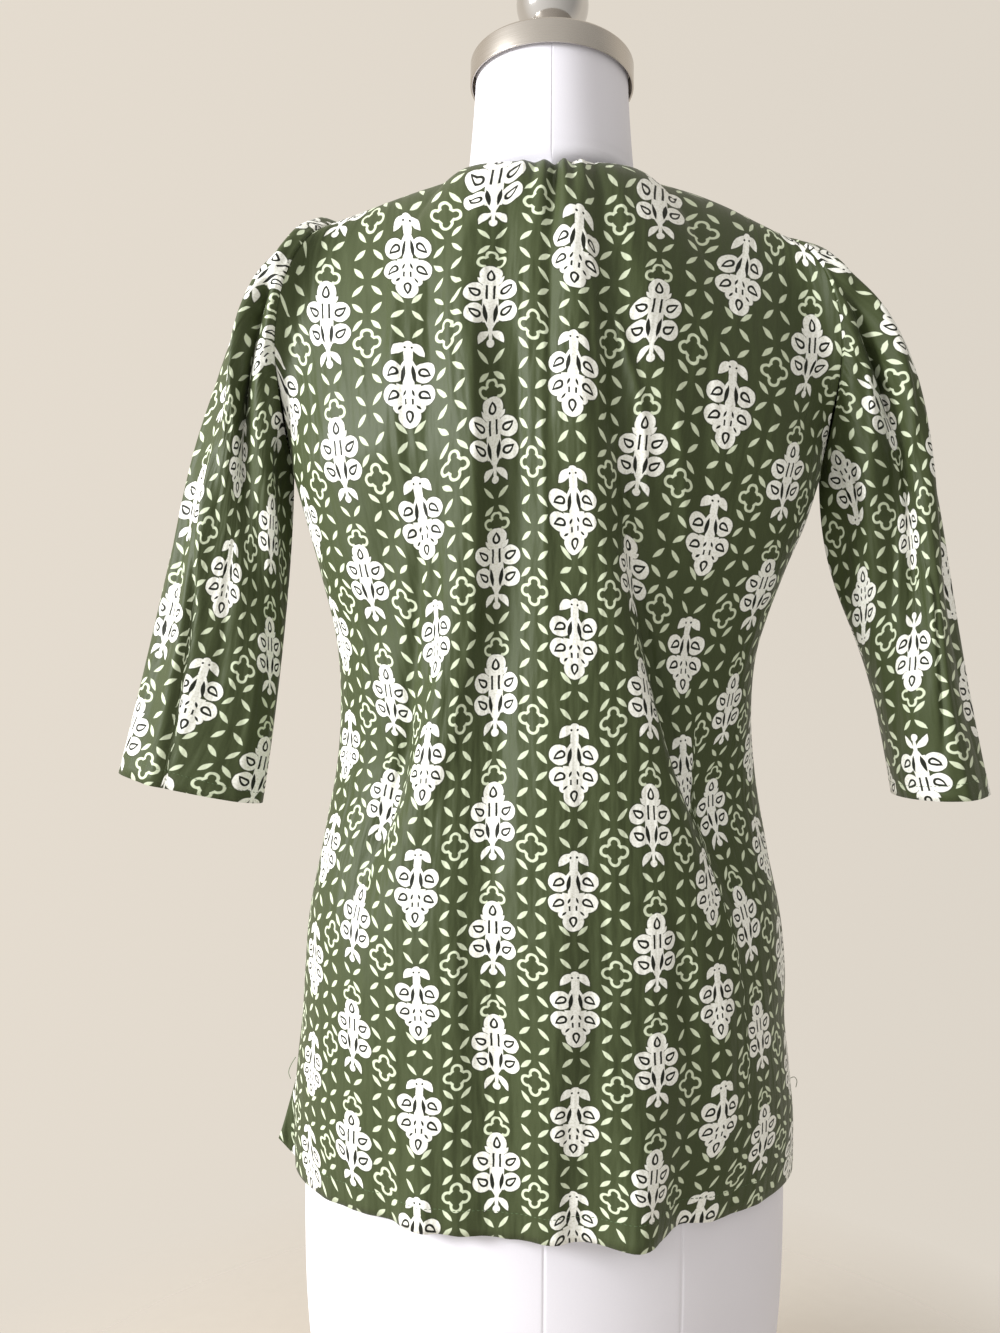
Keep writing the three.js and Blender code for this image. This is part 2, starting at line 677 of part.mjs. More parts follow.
// The grid of a sleeve: rings from the armhole to the cuff, each line along it a Bezier curve.
function sleeveGrid(name) {
  const { side, cuff, crown, under } = SLEEVES[name];
  const folds = SLEEVE_FOLDS[name];
  const base = [];
  for (let j = 0; j <= SLEEVE_ROWS; j += 1) {
    const down = j / SLEEVE_ROWS;
    const ring = [];
    for (let i = 0; i < SLEEVE_COLUMNS; i += 1) {
      const degrees = 180 - (360 * i) / SLEEVE_COLUMNS;
      ring.push(sleevePoint(degrees, down, { side, cuff, crown, under }));
    }
    base.push(ring);
  }
  const normals = gridNormals(base, true);
  return base.map((ring, j) =>
    ring.map((p, i) => {
      const degrees = 180 - (360 * i) / SLEEVE_COLUMNS;
      const height = sleeveFoldHeight(folds, degrees, j / SLEEVE_ROWS);
      return p.clone().addScaledVector(normals[j][i], -side * height);
    }),
  );
}

function sleevePoint(degrees, down, { side, cuff, crown, under }) {
  const top = (1 + Math.cos(radians(degrees))) / 2;
  const start = armholePoint(side, degrees);
  const { across, along } = superellipse(radians(degrees - cuff.twist), cuff.square);
  const lean = radians(cuff.lean);
  const end = new THREE.Vector3(
    side * (cuff.x + cuff.across * along * Math.cos(lean)),
    cuff.y - cuff.deep * across,
    cuff.z + cuff.across * along * Math.sin(lean),
  );
  const blend = (key) => lerp(under[key], crown[key], top);
  const leave = start.clone().add(new THREE.Vector3(side * blend("reach"), 0, -blend("fall")));
  const arrive = end.clone().add(new THREE.Vector3(-side * blend("back"), 0, blend("rise")));
  return new THREE.CubicBezierCurve3(start, leave, arrive, end).getPoint(down);
}

function sleeveFoldHeight(folds, degrees, down) {
  let height = 0;
  for (const fold of Object.values(folds)) {
    if (!covers(fold, "down", down)) continue;
    const gap = degrees - read(fold, "down", "at", down);
    const wrapped = ((((gap + 180) % 360) + 360) % 360) - 180;
    const offset = wrapped / read(fold, "down", "wide", down);
    height += read(fold, "down", "out", down) * Math.exp(-offset * offset);
  }
  return height;
}

// The form's closed body from its flat underside to the top of the neck.
function formGeometry() {
  const points = [];
  const index = [];
  FORM_SECTIONS.forEach(({ z, half, back, front, mid, square }) => {
    const slope = clamp01((z - NECK_SLOPE_Z) / (CAP.z - NECK_SLOPE_Z)) * Math.tan(radians(CAP.tilt));
    for (let i = 0; i < FORM_COLUMNS; i += 1) {
      const { across, along } = superellipse((2 * Math.PI * i) / FORM_COLUMNS, square);
      const y = along > 0 ? lerp(mid, back, along) : lerp(mid, front, -along);
      points.push(new THREE.Vector3(half * across, y, z - y * slope));
    }
  });
  const rings = FORM_SECTIONS.length;
  for (let j = 0; j < rings - 1; j += 1) {
    for (let i = 0; i < FORM_COLUMNS; i += 1) {
      const next = (i + 1) % FORM_COLUMNS;
      const [a, b] = [j * FORM_COLUMNS + i, j * FORM_COLUMNS + next];
      index.push(a, b, b + FORM_COLUMNS, a, b + FORM_COLUMNS, a + FORM_COLUMNS);
    }
  }
  for (let i = 1; i < FORM_COLUMNS - 1; i += 1) {
    const top = (rings - 1) * FORM_COLUMNS;
    index.push(0, i + 1, i, top, top + i, top + i + 1);
  }
  return geometryOf(points, index);
}

// A turned piece about the Z axis from its [radius, z] profile.
function turned(profile, segments = ROUND_SEGMENTS) {
  const points = profile.map(([r, z]) => new THREE.Vector2(r, z));
  return new THREE.LatheGeometry(points, segments).rotateX(Math.PI / 2);
}

function plateGeometry() {
  const { radius, height, bevel } = PLATE;
  return turned([[0, 0], [radius, 0], [radius, height - bevel], [radius - bevel, height], [0, height]]);
}

function poleGeometry() {
  const foot = PLATE.height + SEAT_GAP;
  const top = POLE.top - SEAT_GAP;
  return turned([[0, foot], [POLE.radius, foot], [POLE.radius, top], [0, top]]);
}

function collarGeometry() {
  const foot = PLATE.height + SEAT_GAP;
  const { inner, foot: wide, neck, height } = COLLAR;
  return turned([
    [inner, foot],
    [wide, foot],
    [wide, foot + 4],
    [neck + 3, foot + 12],
    [neck, foot + height],
    [inner, foot + height],
    [inner, foot],
  ]);
}

function flangeGeometry() {
  const top = FORM_BOTTOM_Z - SEAT_GAP;
  const { inner, outer, height } = FLANGE;
  return turned([[inner, top - height], [outer - 4, top - height], [outer, top - 4], [outer, top], [inner, top], [inner, top - height]]);
}

// The metal cap: a dish turned down over the top of the neck, with its rim standing clear of it.
function capGeometry() {
  const { radius, wall, rim, top, crown } = CAP;
  const inner = radius - wall;
  return turned([
    [0, rim - top],
    [inner, rim - top],
    [inner, 0],
    [radius, 0],
    [radius, rim - 2],
    [radius - 2, rim],
    [FINIAL.foot + 3, rim + crown],
    [0, rim + crown],
  ]);
}

function finialGeometry() {
  const { foot, waist, ball, height } = FINIAL;
  const centre = height - ball;
  const profile = [[0, 0], [foot, 0], [foot, 3], [waist, 6]];
  const start = Math.asin(waist / ball);
  for (let k = 0; k <= 12; k += 1) {
    const angle = lerp(Math.PI - start, 0, k / 12);
    profile.push([Math.max(0, ball * Math.sin(angle)), centre + ball * Math.cos(angle)]);
  }
  profile[profile.length - 1][0] = 0;
  return turned(profile, 32);
}

function material(colour, roughness, metalness) {
  return new THREE.MeshStandardMaterial({ color: colour, roughness, metalness });
}

const finishes = {
  cloth: material(COLOURS.cloth, 0.75, 0),
  cover: material(COLOURS.cover, 0.85, 0),
  metal: material(COLOURS.metal, 0.3, 1),
  steel: material(COLOURS.steel, 0.35, 1),
};

function named(name, geometry, finish) {
  const mesh = new THREE.Mesh(geometry, finishes[finish]);
  mesh.name = name;
  return mesh;
}

function panelGeometry(panel) {
  const grid = panelGrid(panel);
  return wallGeometry(grid, panelNormals(grid, panel.lowerRows), { wall: CLOTH, closed: false, outward: -panel.face });
}

function sleeveGeometry(name) {
  const grid = sleeveGrid(name);
  return wallGeometry(grid, gridNormals(grid, true), { wall: CLOTH, closed: true, outward: -SLEEVES[name].side });
}

const kurti = new THREE.Group();
kurti.add(
  named("back_panel", panelGeometry(BACK), "cloth"),
  named("front_panel", panelGeometry(FRONT), "cloth"),
  named("left_sleeve", sleeveGeometry("left"), "cloth"),
  named("right_sleeve", sleeveGeometry("right"), "cloth"),
);

const form = new THREE.Group();
form.add(
  named("form_body", formGeometry(), "cover"),
  named("form_flange", flangeGeometry(), "steel"),
  named("pole", poleGeometry(), "steel"),
  named("pole_collar", collarGeometry(), "steel"),
  named("base_plate", plateGeometry(), "steel"),
);
const neckTop = new THREE.Group();
const finial = named("finial", finialGeometry(), "metal");
finial.position.z = CAP.rim + CAP.crown + SEAT_GAP;
neckTop.add(named("neck_cap", capGeometry(), "metal"), finial);
neckTop.position.z = CAP.z;
neckTop.rotation.x = -radians(CAP.tilt);
form.add(neckTop);

const root = new THREE.Group();
root.add(kurti, form);

export default root;
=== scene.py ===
"""A printed kurti on a limbless dress form, seen from behind as in the photograph."""

import math

import bmesh
import bpy
import numpy as np
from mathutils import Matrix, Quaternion, Vector
from mathutils.bvhtree import BVHTree


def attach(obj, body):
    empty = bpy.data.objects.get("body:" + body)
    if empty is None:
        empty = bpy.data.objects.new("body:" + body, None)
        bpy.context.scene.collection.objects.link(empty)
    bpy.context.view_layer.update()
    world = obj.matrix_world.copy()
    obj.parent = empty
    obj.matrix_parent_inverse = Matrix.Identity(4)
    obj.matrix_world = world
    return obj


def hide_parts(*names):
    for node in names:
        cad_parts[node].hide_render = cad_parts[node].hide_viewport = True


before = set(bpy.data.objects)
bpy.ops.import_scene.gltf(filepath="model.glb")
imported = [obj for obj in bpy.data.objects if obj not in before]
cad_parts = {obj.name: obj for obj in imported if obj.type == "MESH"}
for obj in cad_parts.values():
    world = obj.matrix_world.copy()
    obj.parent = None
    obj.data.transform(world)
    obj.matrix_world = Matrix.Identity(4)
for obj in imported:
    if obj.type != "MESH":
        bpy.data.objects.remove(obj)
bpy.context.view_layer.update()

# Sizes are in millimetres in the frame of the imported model, unless a name says otherwise.
MM = 0.001
CLOTH = 0.7
EVEN_STIFFNESS = 300
HEM_Z = 292
SLIT_TOP_Z = 362
SLIT_OPENING = 5
ARMPIT_Z = 800
HEM_DEPTH = 14
SHOULDER_TIPS = {-1: (159, 993, 2), 1: (172, 984, 6)}
NECK_POINT = (66, 1023)
BACK_NECK = (-61, 1012)
FRONT_NECK = (83, 940)
FORM_CLEARANCE = 0.25
ARMHOLE_OFFSET = 1.8
TUCK = 0.9
HEAD_SWELL = 4.5
SEAM_DEPTH = 1.4
# How far the hem stitches lie off the cloth.
THREAD_LIFT = 0.05
# Points of the cloth further than this from the form aren't moved off it.
NEAR_FORM = 4
# Where the folds of the two flanks run down the back, as shares of its half width.
LEFT_GUIDE = -0.42
RIGHT_GUIDE = 0.3
# A sleeve's points round it, its rings, and the angle that its print is measured from.
SLEEVE_POINTS = 180
SLEEVE_RINGS = 112
SLEEVE_MIDDLE = 75

# The camera: how many pixels of the 1000 by 1333 picture a metre takes at one metre.
FOCAL_PIXELS = 1130
PICTURE = (1000, 1333)
AXIS_PIXELS = (548, 667)
CAMERA_AT = (0, -850, 660)
ROLL = math.radians(0.4)


def table(columns, *rows):
    """A short table with named columns, as arrays sorted by the first column."""
    names = columns.split()
    values = np.array(sorted(rows), float)
    return {name: values[:, k] for k, name in enumerate(names)}


def read(rows, column, at):
    """A column's value at each key, on a smooth curve through the rows."""
    keys = next(iter(rows.values()))
    values = rows[column]
    last = len(keys) - 1
    before = np.maximum(np.arange(last + 1) - 1, 0)
    after = np.minimum(np.arange(last + 1) + 1, last)
    slopes = (values[after] - values[before]) / (keys[after] - keys[before])
    at = np.clip(at, keys[0], keys[-1])
    k = np.clip(np.searchsorted(keys, at) - 1, 0, last - 1)
    span = keys[k + 1] - keys[k]
    t = (at - keys[k]) / span
    return (
        (2 * t**3 - 3 * t**2 + 1) * values[k]
        + (t**3 - 2 * t**2 + t) * span * slopes[k]
        + (3 * t**2 - 2 * t**3) * values[k + 1]
        + (t**3 - t**2) * span * slopes[k + 1]
    )


def lerp(a, b, t):
    return a + (b - a) * t


FORM_SECTIONS = table(
    "z half back front square",
    (105, 150, -93, 90, 1.95),
    (112, 158, -99, 95, 1.95),
    (135, 168, -107, 101, 1.95),
    (180, 175, -112, 105, 1.95),
    (250, 178, -115, 107, 1.95),
    (340, 177, -116, 107, 1.95),
    (430, 171, -116, 107, 2.05),
    (500, 157, -107, 102, 2.1),
    (570, 138, -94, 96, 2.1),
    (640, 124, -84, 94, 2.1),
    (700, 131, -87, 103, 2.1),
    (750, 141, -94, 117, 2.15),
    (800, 152, -101, 124, 2.1),
    (850, 160, -101, 113, 1.95),
    (900, 166, -94, 92, 1.8),
    (940, 168, -82, 66, 1.6),
    (962, 165, -72, 50, 1.45),
    (978, 159, -63, 41, 1.35),
    (990, 148, -57, 36, 1.3),
    (1000, 125, -55, 34, 1.25),
    (1010, 94, -54, 34, 1.15),
    (1017, 73, -55, 41, 1.4),
    (1021, 64.5, -56, 49, 1.8),
    (1026, 62.5, -56.5, 53, 2),
    (1050, 60, -57, 58, 2),
    (1086, 57.5, -57, 58, 2),
    (1109.4, 57, -57, 57, 2),
)
NECK_SLOPE_Z = 1045
CAP = {"z": 1093.3, "radius": 61.3, "wall": 1.6, "rim": 19, "top": 2.5, "crown": 4, "tilt": 3}
FINIAL = {"foot": 20, "waist": 15, "ball": 27.3, "height": 70}
SEAT_GAP = 0.3

BODY = table(
    "z left right back front square",
    (292, 186, 185, 129, 132, 1.85),
    (330, 187, 185, 129, 131, 1.9),
    (370, 184, 181, 129, 129, 2),
    (405, 180, 177, 129, 127, 2.1),
    (440, 178, 177, 128, 125, 2.15),
    (480, 175, 173, 125, 123, 2.2),
    (530, 166, 163, 118, 121, 2.15),
    (580, 158, 156, 111, 121, 2.1),
    (630, 155, 153, 106, 123, 2.1),
    (680, 158, 158, 105, 128, 2.1),
    (730, 170, 175, 108, 134, 2.15),
    (765, 180, 190, 111, 138, 2.15),
    (800, 190, 201, 114, 138, 2.2),
)
ARMHOLE = table(
    "rise out back front",
    (0, 0, 0, 0),
    (0.18, 8, 27, 25),
    (0.38, 15, 43, 38),
    (0.6, 14, 46, 40),
    (0.82, 7, 32, 28),
    (1, 0, 0, 0),
)
LEFT_FLANK = table(
    "z x rise turn",
    (1000, -50, 0, 10),
    (930, -60, 2, 10),
    (830, -70, 3, 14),
    (740, -72, 5, 16),
    (650, -84, 9, 12),
    (590, -98, 16, 9),
    (540, -113, 13, 10),
    (480, -128, 5, 13),
    (420, -140, 0, 14),
)
RIGHT_FLANK = table(
    "z x rise turn",
    (1000, 24, 0, 6),
    (930, 29, 4, 6),
    (830, 35, 7, 7),
    (740, 48, 13, 7),
    (660, 68, 18, 7),
    (590, 90, 18, 7),
    (540, 106, 13, 9),
    (480, 120, 5, 12),
    (420, 132, 0, 14),
)


def fold(*rows):
    return table("z x out wide", *rows)


# Soft folds of the back: where each runs, how far it stands out, and its half width.
BACK_FOLDS = [
    fold((990, -28, 0, 14), (930, -30, -4, 14), (800, -31, -9, 17), (640, -33, -11, 20),
         (500, -40, -8, 20), (380, -36, -6, 18), (280, -30, -5, 18)),
    fold((985, -52, 0, 9), (930, -60, 3, 11), (850, -55, 5, 13), (760, -50, 6, 15),
         (690, -58, 5, 15), (610, -78, 5, 14), (520, -98, 2, 14), (470, -108, 0, 14)),
    fold((1012, 15, 1.5, 7), (980, 15, 4, 9), (900, 17, 5, 12), (800, 24, 4, 16),
         (700, 38, 2, 18), (640, 50, 0, 18)),
    fold((1014, 3, -1.5, 4), (960, 1, -3, 5), (900, -1, -2, 6), (850, -3, 0, 6)),
    fold((980, 62, 0, 12), (920, 68, 3, 13), (840, 76, 3, 15), (760, 86, 0, 16)),
    fold((985, -96, 0, 12), (920, -104, 3, 13), (830, -106, 3, 14), (740, -112, -3, 13),
         (660, -120, 0, 12)),
    fold((560, 10, 0, 14), (480, 6, 3, 12), (400, 8, 4, 12), (280, 4, 3, 14)),
    fold((520, 36, 0, 10), (450, 34, -3, 9), (380, 30, -2, 10), (320, 26, 0, 10)),
    fold((430, 62, 0, 26), (370, 60, 7, 24), (320, 58, 17, 19), (280, 56, 24, 16)),
    fold((400, 96, 0, 14), (330, 94, -4, 13), (280, 92, -5, 12)),
    fold((410, -82, 0, 11), (350, -80, 4, 10), (280, -78, 5, 10)),
    fold((380, -112, 0, 16), (280, -110, -4, 16)),
]
# Fine creases that only the thin shell carries.
BACK_CREASES = [
    fold((1010, -20, 0, 4), (985, -24, -1.6, 5), (940, -32, -1.8, 6), (900, -40, 0, 6)),
    fold((1008, -34, 0, 5), (985, -42, 1.3, 5), (950, -56, 1.2, 6), (910, -70, 0, 6)),
    fold((945, -108, 0, 2.5), (915, -107, 1.5, 2.6), (860, -104, 1.6, 2.8), (805, -101, 0, 3)),
    fold((920, -131, 0, 3), (880, -130, 1.3, 3), (830, -126, 1.2, 3.4), (780, -122, 0, 4)),
    fold((935, -84, 0, 4), (900, -83, -1.6, 4), (850, -82, -1.4, 5), (790, -82, 0, 5)),
    fold((1010, 30, 0, 3.5), (975, 33, -1.7, 4), (900, 38, -1.5, 5), (840, 46, 0, 6)),
    fold((930, 27, 0, 3), (900, 29, 1.8, 3), (840, 33, 1.6, 3.5), (780, 40, 0, 4)),
    fold((1005, 46, 0, 5), (960, 52, 1.4, 6), (900, 62, 1.5, 7), (830, 74, 0, 8)),
    fold((940, 0, 0, 2.5), (900, 0, -1.8, 2.6), (840, 0, -1.6, 3), (800, 1, 0, 3)),
    fold((760, 96, 0, 6), (710, 104, -2.2, 7), (650, 114, -2.4, 8), (590, 124, 0, 8)),
    fold((640, -100, 0, 5), (600, -108, -2, 6), (550, -118, -2.2, 6), (500, -126, 0, 7)),
    fold((470, -66, 0, 6), (420, -64, 1.8, 7), (360, -62, 2, 7), (300, -60, 1, 8)),
    fold((460, -22, 0, 5), (400, -20, -1.6, 6), (340, -18, -1.8, 6), (290, -16, -1, 6)),
    fold((520, 84, 0, 7), (460, 90, -2.4, 8), (400, 96, -1.6, 8), (350, 100, 0, 8)),
    fold((480, 116, 0, 6), (430, 120, 2, 7), (370, 122, 1.6, 8), (310, 124, 0, 8)),
    fold((700, -24, 0, 5), (640, -22, 1.5, 5), (560, -22, 1.7, 6), (480, -26, 0, 6)),
    fold((640, 20, 0, 7), (580, 24, -1.8, 8), (520, 28, -1.6, 8), (470, 30, 0, 8)),
    fold((930, 37, 0, 5), (830, 44, -3, 5), (740, 57, -5, 5), (660, 78, -6, 6), (590, 100, -6, 6),
         (540, 117, -4, 6), (480, 132, 0, 7)),
    fold((830, -84, 0, 6), (740, -88, -3, 6), (650, -98, -5, 6), (590, -110, -6, 7),
         (540, -124, -4, 7), (480, -140, 0, 8)),
    fold((955, 22, 0, 3), (935, 25, 2, 3), (900, 40, 2.6, 3), (835, 60, 2.8, 3.5),
         (780, 66, 2.4, 4), (690, 92, 0, 5)),
    fold((890, -102, 0, 2.5), (850, -99, -1.4, 2.5), (780, -94, -1.4, 3), (720, -90, 0, 3)),
    fold((940, -73, 0, 3), (905, -69, 1.6, 3), (860, -66, 1.5, 3), (815, -62, 0, 4)),
    fold((890, -22, 0, 4), (850, -21, -2, 4), (760, -19, -2.2, 4.5), (690, -18, 0, 5)),
    fold((830, -5, 0, 3), (790, -4, 1.7, 3), (730, -2, 1.8, 3.5), (670, 0, 0, 4)),
    fold((900, -52, 0, 4), (860, -50, 2.2, 5), (760, -46, 2.6, 5), (680, -50, 2.4, 5),
         (600, -68, 1.8, 6), (550, -90, 0, 6)),
    fold((760, -76, 0, 4), (710, -78, -2.4, 5), (640, -86, -2.8, 6), (570, -102, -2, 6),
         (520, -116, 0, 6)),
    fold((740, -132, 0, 4), (690, -132, 1.8, 4), (620, -134, 1.8, 4), (560, -140, 0, 4)),
    fold((530, -66, 0, 4), (480, -60, 1.8, 4), (400, -54, 1.6, 4), (350, -50, 0, 5)),
    fold((520, -28, 0, 4), (470, -30, -2.2, 5), (400, -31, -1.8, 5), (340, -31, 0, 5)),
    fold((500, 32, 0, 3.5), (460, 35, 1.8, 4), (410, 40, 1.6, 4), (360, 43, 0, 5)),
    fold((510, 84, 0, 4), (460, 90, -2.2, 4.5), (400, 97, -1.8, 5), (350, 102, 0, 5)),
    fold((600, 104, 0, 4), (560, 112, 2, 4), (500, 124, 2.2, 5), (430, 134, 0, 6)),
    fold((860, 84, 0, 4), (820, 88, 1.6, 4), (750, 96, 1.8, 4.5), (690, 108, 0, 5)),
    fold((900, 110, 0, 3.5), (860, 108, -1.5, 3.5), (800, 106, -1.5, 4), (740, 110, 0, 5)),
    fold((430, -100, 0, 4), (390, -98, 1.6, 4), (340, -96, 1.8, 5), (290, -95, 1.4, 5)),
    fold((420, 12, 0, 4), (380, 14, -1.6, 4), (330, 16, -1.8, 4), (290, 17, -1.2, 5)),
]
# Gathers that run down from the middle of the neckline: where each starts and ends.
NECK_GATHERS = [(-20, -30, 1.8), (-12, -18, -2.2), (-5, -8, 2.2), (2, 1, -3.4), (8, 8, 3),
                (14, 17, -2.6), (21, 28, 2), (30, 42, -1.6)]
for neck_x, end_x, out in NECK_GATHERS:
    BACK_CREASES.append(
        fold((1020, neck_x, out, 2.6), (1004, neck_x, out, 2.8),
             (975, lerp(neck_x, end_x, 0.5), out * 0.5, 3.4), (945, end_x, 0, 4))
    )
# Small puckers along the hem.
HEM_PUCKERS = [(-150, 0.7), (-137, -0.8), (-118, 0.9), (-101, -0.8), (-88, 1), (-70, -1.1), (-55, 0.9),
               (-41, -0.7), (-24, 1.1), (-8, -1), (7, 0.8), (23, -1.1), (41, 0.9), (58, -0.8),
               (78, 1), (93, -0.9), (110, 1), (127, -0.8), (146, 0.8)]
for pucker_x, out in HEM_PUCKERS:
    BACK_CREASES.append(
        fold((322, pucker_x, 0, 5), (306, pucker_x, out, 5), (285, pucker_x, out * 1.3, 5.5))
    )
# Folds of the front, where out counts toward the form.
FRONT_FOLDS = [
    fold((800, -62, 0, 22), (730, -64, 5, 20), (600, -72, 10, 20), (450, -84, 8, 24),
         (280, -92, 9, 24)),
    fold((800, 60, 0, 22), (720, 63, 6, 19), (600, 70, 11, 19), (450, 80, 9, 23),
         (280, 88, 12, 22)),
    fold((780, 2, 0, 30), (650, 4, -7, 26), (480, 6, -8, 28), (280, 8, -7, 30)),
    fold((740, -124, 0, 14), (620, -120, -8, 13), (480, -134, -4, 14), (400, -140, 0, 14)),
    fold((740, 124, 0, 14), (620, 118, -8, 13), (480, 132, -5, 14), (400, 140, 0, 14)),
    fold((980, -100, 0, 10), (900, -112, 4, 13), (820, -116, 0, 14)),
    fold((980, 100, 0, 10), (890, 110, 4, 13), (820, 114, 0, 14)),
]
FRONT_CREASES = [
    fold((900, -40, 0, 5), (860, -48, 1.2, 6), (800, -56, 0, 7)),
    fold((905, 38, 0, 5), (860, 47, 1.3, 6), (790, 58, 0, 7)),
    fold((700, -30, 0, 7), (600, -34, 1.8, 8), (460, -38, 1.6, 8), (300, -42, 1, 8)),
    fold((680, 34, 0, 7), (560, 38, 1.7, 8), (430, 44, 1.9, 9), (300, 46, 1, 9)),
    fold((520, 4, 0, 6), (430, 2, 1.4, 7), (330, 4, 1.6, 7), (290, 5, 1, 7)),
    fold((640, -98, 0, 6), (560, -106, -1.8, 7), (470, -112, 0, 8)),
    fold((650, 96, 0, 6), (560, 104, -2, 7), (460, 112, 0, 8)),
]

SLEEVES = {
    "left": {
        "side": -1,
        "cuff": {"x": 269, "y": 4, "z": 567, "across": 55, "deep": 30, "lean": 12, "twist": -14},
        "crown": {"reach": 84, "fall": -3, "back": 52, "rise": 205},
        "under": {"reach": 0, "fall": 50, "back": 16, "rise": 110},
    },
    "right": {
        "side": 1,
        "cuff": {"x": 295, "y": 6, "z": 566, "across": 31, "deep": 53, "lean": 3, "twist": 4},
        "crown": {"reach": 134, "fall": 55, "back": 63, "rise": 220},
        "under": {"reach": 2, "fall": 104, "back": 20, "rise": 137},
    },
}


def ring_fold(*rows):
    return table("down at out wide", *rows)


# Folds of the sleeves: at is the angle round the tube, 0 outward and 90 to the back.
SLEEVE_FOLDS = {
    "left": [
        ring_fold((0, 116, 0, 13), (0.16, 118, 8, 13), (0.35, 126, 8, 14), (0.6, 140, 0, 15)),
        ring_fold((0.02, 92, 0, 11), (0.18, 94, -10, 11), (0.38, 100, -9, 12), (0.62, 108, 0, 14)),
        ring_fold((0.02, 70, 0, 11), (0.18, 70, 6, 11), (0.4, 76, 5, 12), (0.6, 82, 0, 14)),
        ring_fold((0.05, 46, 0, 12), (0.22, 46, -7, 12), (0.42, 50, -5, 14), (0.62, 54, 0, 16)),
        ring_fold((0.42, 62, 0, 12), (0.62, 60, 7, 12), (0.85, 58, 8, 13), (1, 56, 5, 14)),
        ring_fold((0.05, -80, 0, 14), (0.25, -82, -8, 14), (0.5, -88, -6, 16), (0.75, -94, 0, 16)),
    ],
    "right": [
        ring_fold((0, 118, 0, 14), (0.16, 118, 9, 15), (0.4, 128, 9, 18), (0.62, 140, 4, 20),
                  (0.8, 150, 0, 20)),
        ring_fold((0.02, 88, 0, 11), (0.14, 90, -12, 11), (0.4, 96, -16, 13), (0.6, 106, -13, 14),
                  (0.85, 118, 0, 15)),
        ring_fold((0.08, 56, 0, 15), (0.25, 58, 6, 15), (0.5, 62, 5, 16), (0.75, 66, 0, 16)),
        ring_fold((0.45, 30, 0, 12), (0.65, 30, 5, 12), (0.88, 30, 6, 13), (1, 30, 4, 14)),
        ring_fold((0.05, -84, 0, 14), (0.28, -86, -9, 15), (0.55, -92, -6, 16), (0.8, -98, 0, 16)),
    ],
}
SLEEVE_CREASES = {
    "left": [
        ring_fold((0.1, 82, 0, 4), (0.2, 83, 1.8, 4), (0.36, 88, 1.6, 5), (0.5, 92, 0, 6)),
        ring_fold((0.12, 58, 0, 5), (0.24, 58, -1.7, 5), (0.4, 62, -1.5, 6), (0.56, 66, 0, 6)),
        ring_fold((0.5, 96, 0, 6), (0.65, 94, -2, 7), (0.82, 92, -2, 7), (0.96, 90, 0, 8)),
        ring_fold((0.6, 32, 0, 6), (0.74, 32, -1.6, 7), (0.9, 31, -1.4, 7), (1, 31, 0, 7)),
        ring_fold((0.3, 118, 0, 6), (0.46, 122, -1.8, 7), (0.66, 126, 0, 8)),
        ring_fold((0.3, -40, 0, 7), (0.5, -44, 1.8, 8), (0.8, -48, 0, 8)),
        ring_fold((0.02, 80, 0, 5), (0.11, 82, -7, 5), (0.23, 87, -7, 5), (0.31, 101, -5, 6),
                  (0.48, 112, 0, 6)),
        ring_fold((0.02, 100, 0, 5), (0.12, 103, 4, 6), (0.27, 110, 3, 6), (0.4, 124, 0, 7)),
        ring_fold((0.2, 72, 0, 6), (0.34, 80, 3, 6), (0.44, 96, 2.5, 7), (0.6, 104, 0, 8)),
        ring_fold((0.52, 52, 0, 4), (0.66, 55, -3, 4), (0.75, 63, -4, 4), (0.92, 63, -4, 5),
                  (1, 65, -2, 6)),
        ring_fold((0.45, 20, 0, 8), (0.6, 14, 3, 8), (0.8, 24, 2, 8), (1, 28, 0, 8)),
        ring_fold((0.55, 130, 0, 6), (0.7, 128, 2.5, 7), (0.9, 124, 2.5, 7), (1, 122, 1, 8)),
    ],
    "right": [
        ring_fold((0.06, 72, 0, 4), (0.16, 73, 1.8, 4), (0.3, 76, 1.7, 5), (0.44, 80, 0, 6)),
        ring_fold((0.1, 106, 0, 4), (0.2, 108, -1.8, 5), (0.36, 114, -1.6, 6), (0.5, 120, 0, 6)),
        ring_fold((0.4, 46, 0, 6), (0.55, 46, -1.8, 6), (0.75, 46, -2, 7), (0.95, 46, 0, 7)),
        ring_fold((0.5, 82, 0, 6), (0.65, 82, 1.8, 7), (0.85, 84, 1.6, 7), (1, 84, 1, 8)),
        ring_fold((0.3, -40, 0, 7), (0.5, -42, 1.8, 8), (0.8, -46, 0, 8)),
        ring_fold((0, 74, 0, 6), (0.08, 78, -7, 6), (0.16, 85, -9, 6), (0.27, 102, -9, 6),
                  (0.47, 119, -7, 7), (0.8, 152, -2, 8), (0.95, 165, 0, 9)),
        ring_fold((0.02, 92, 0, 5), (0.1, 96, 5, 5), (0.2, 108, 4, 6), (0.36, 124, 0, 7)),
        ring_fold((0.02, 56, 0, 6), (0.12, 60, 4, 7), (0.3, 74, 4, 8), (0.5, 96, 3, 8),
                  (0.7, 112, 3, 9), (0.95, 140, 2, 10)),
        ring_fold((0.5, 92, 0, 4), (0.61, 87, -3, 4), (0.7, 82, -3.5, 4), (0.87, 96, -3, 5),
                  (1, 120, 0, 7)),
        ring_fold((0.1, 126, 0, 4), (0.2, 129, -2.5, 4), (0.4, 136, -2.5, 5), (0.61, 153, 0, 7)),
    ],
}

# Where the middle of each printed plant shows, in pixels of the picture, down each column
# of them. u is the column's place on the cloth and row counts the plants down it.
PITCH = 53
REPEAT = 82.2
UPRIGHT_MIDDLE = -14.5
HANGING_MIDDLE = 26.5
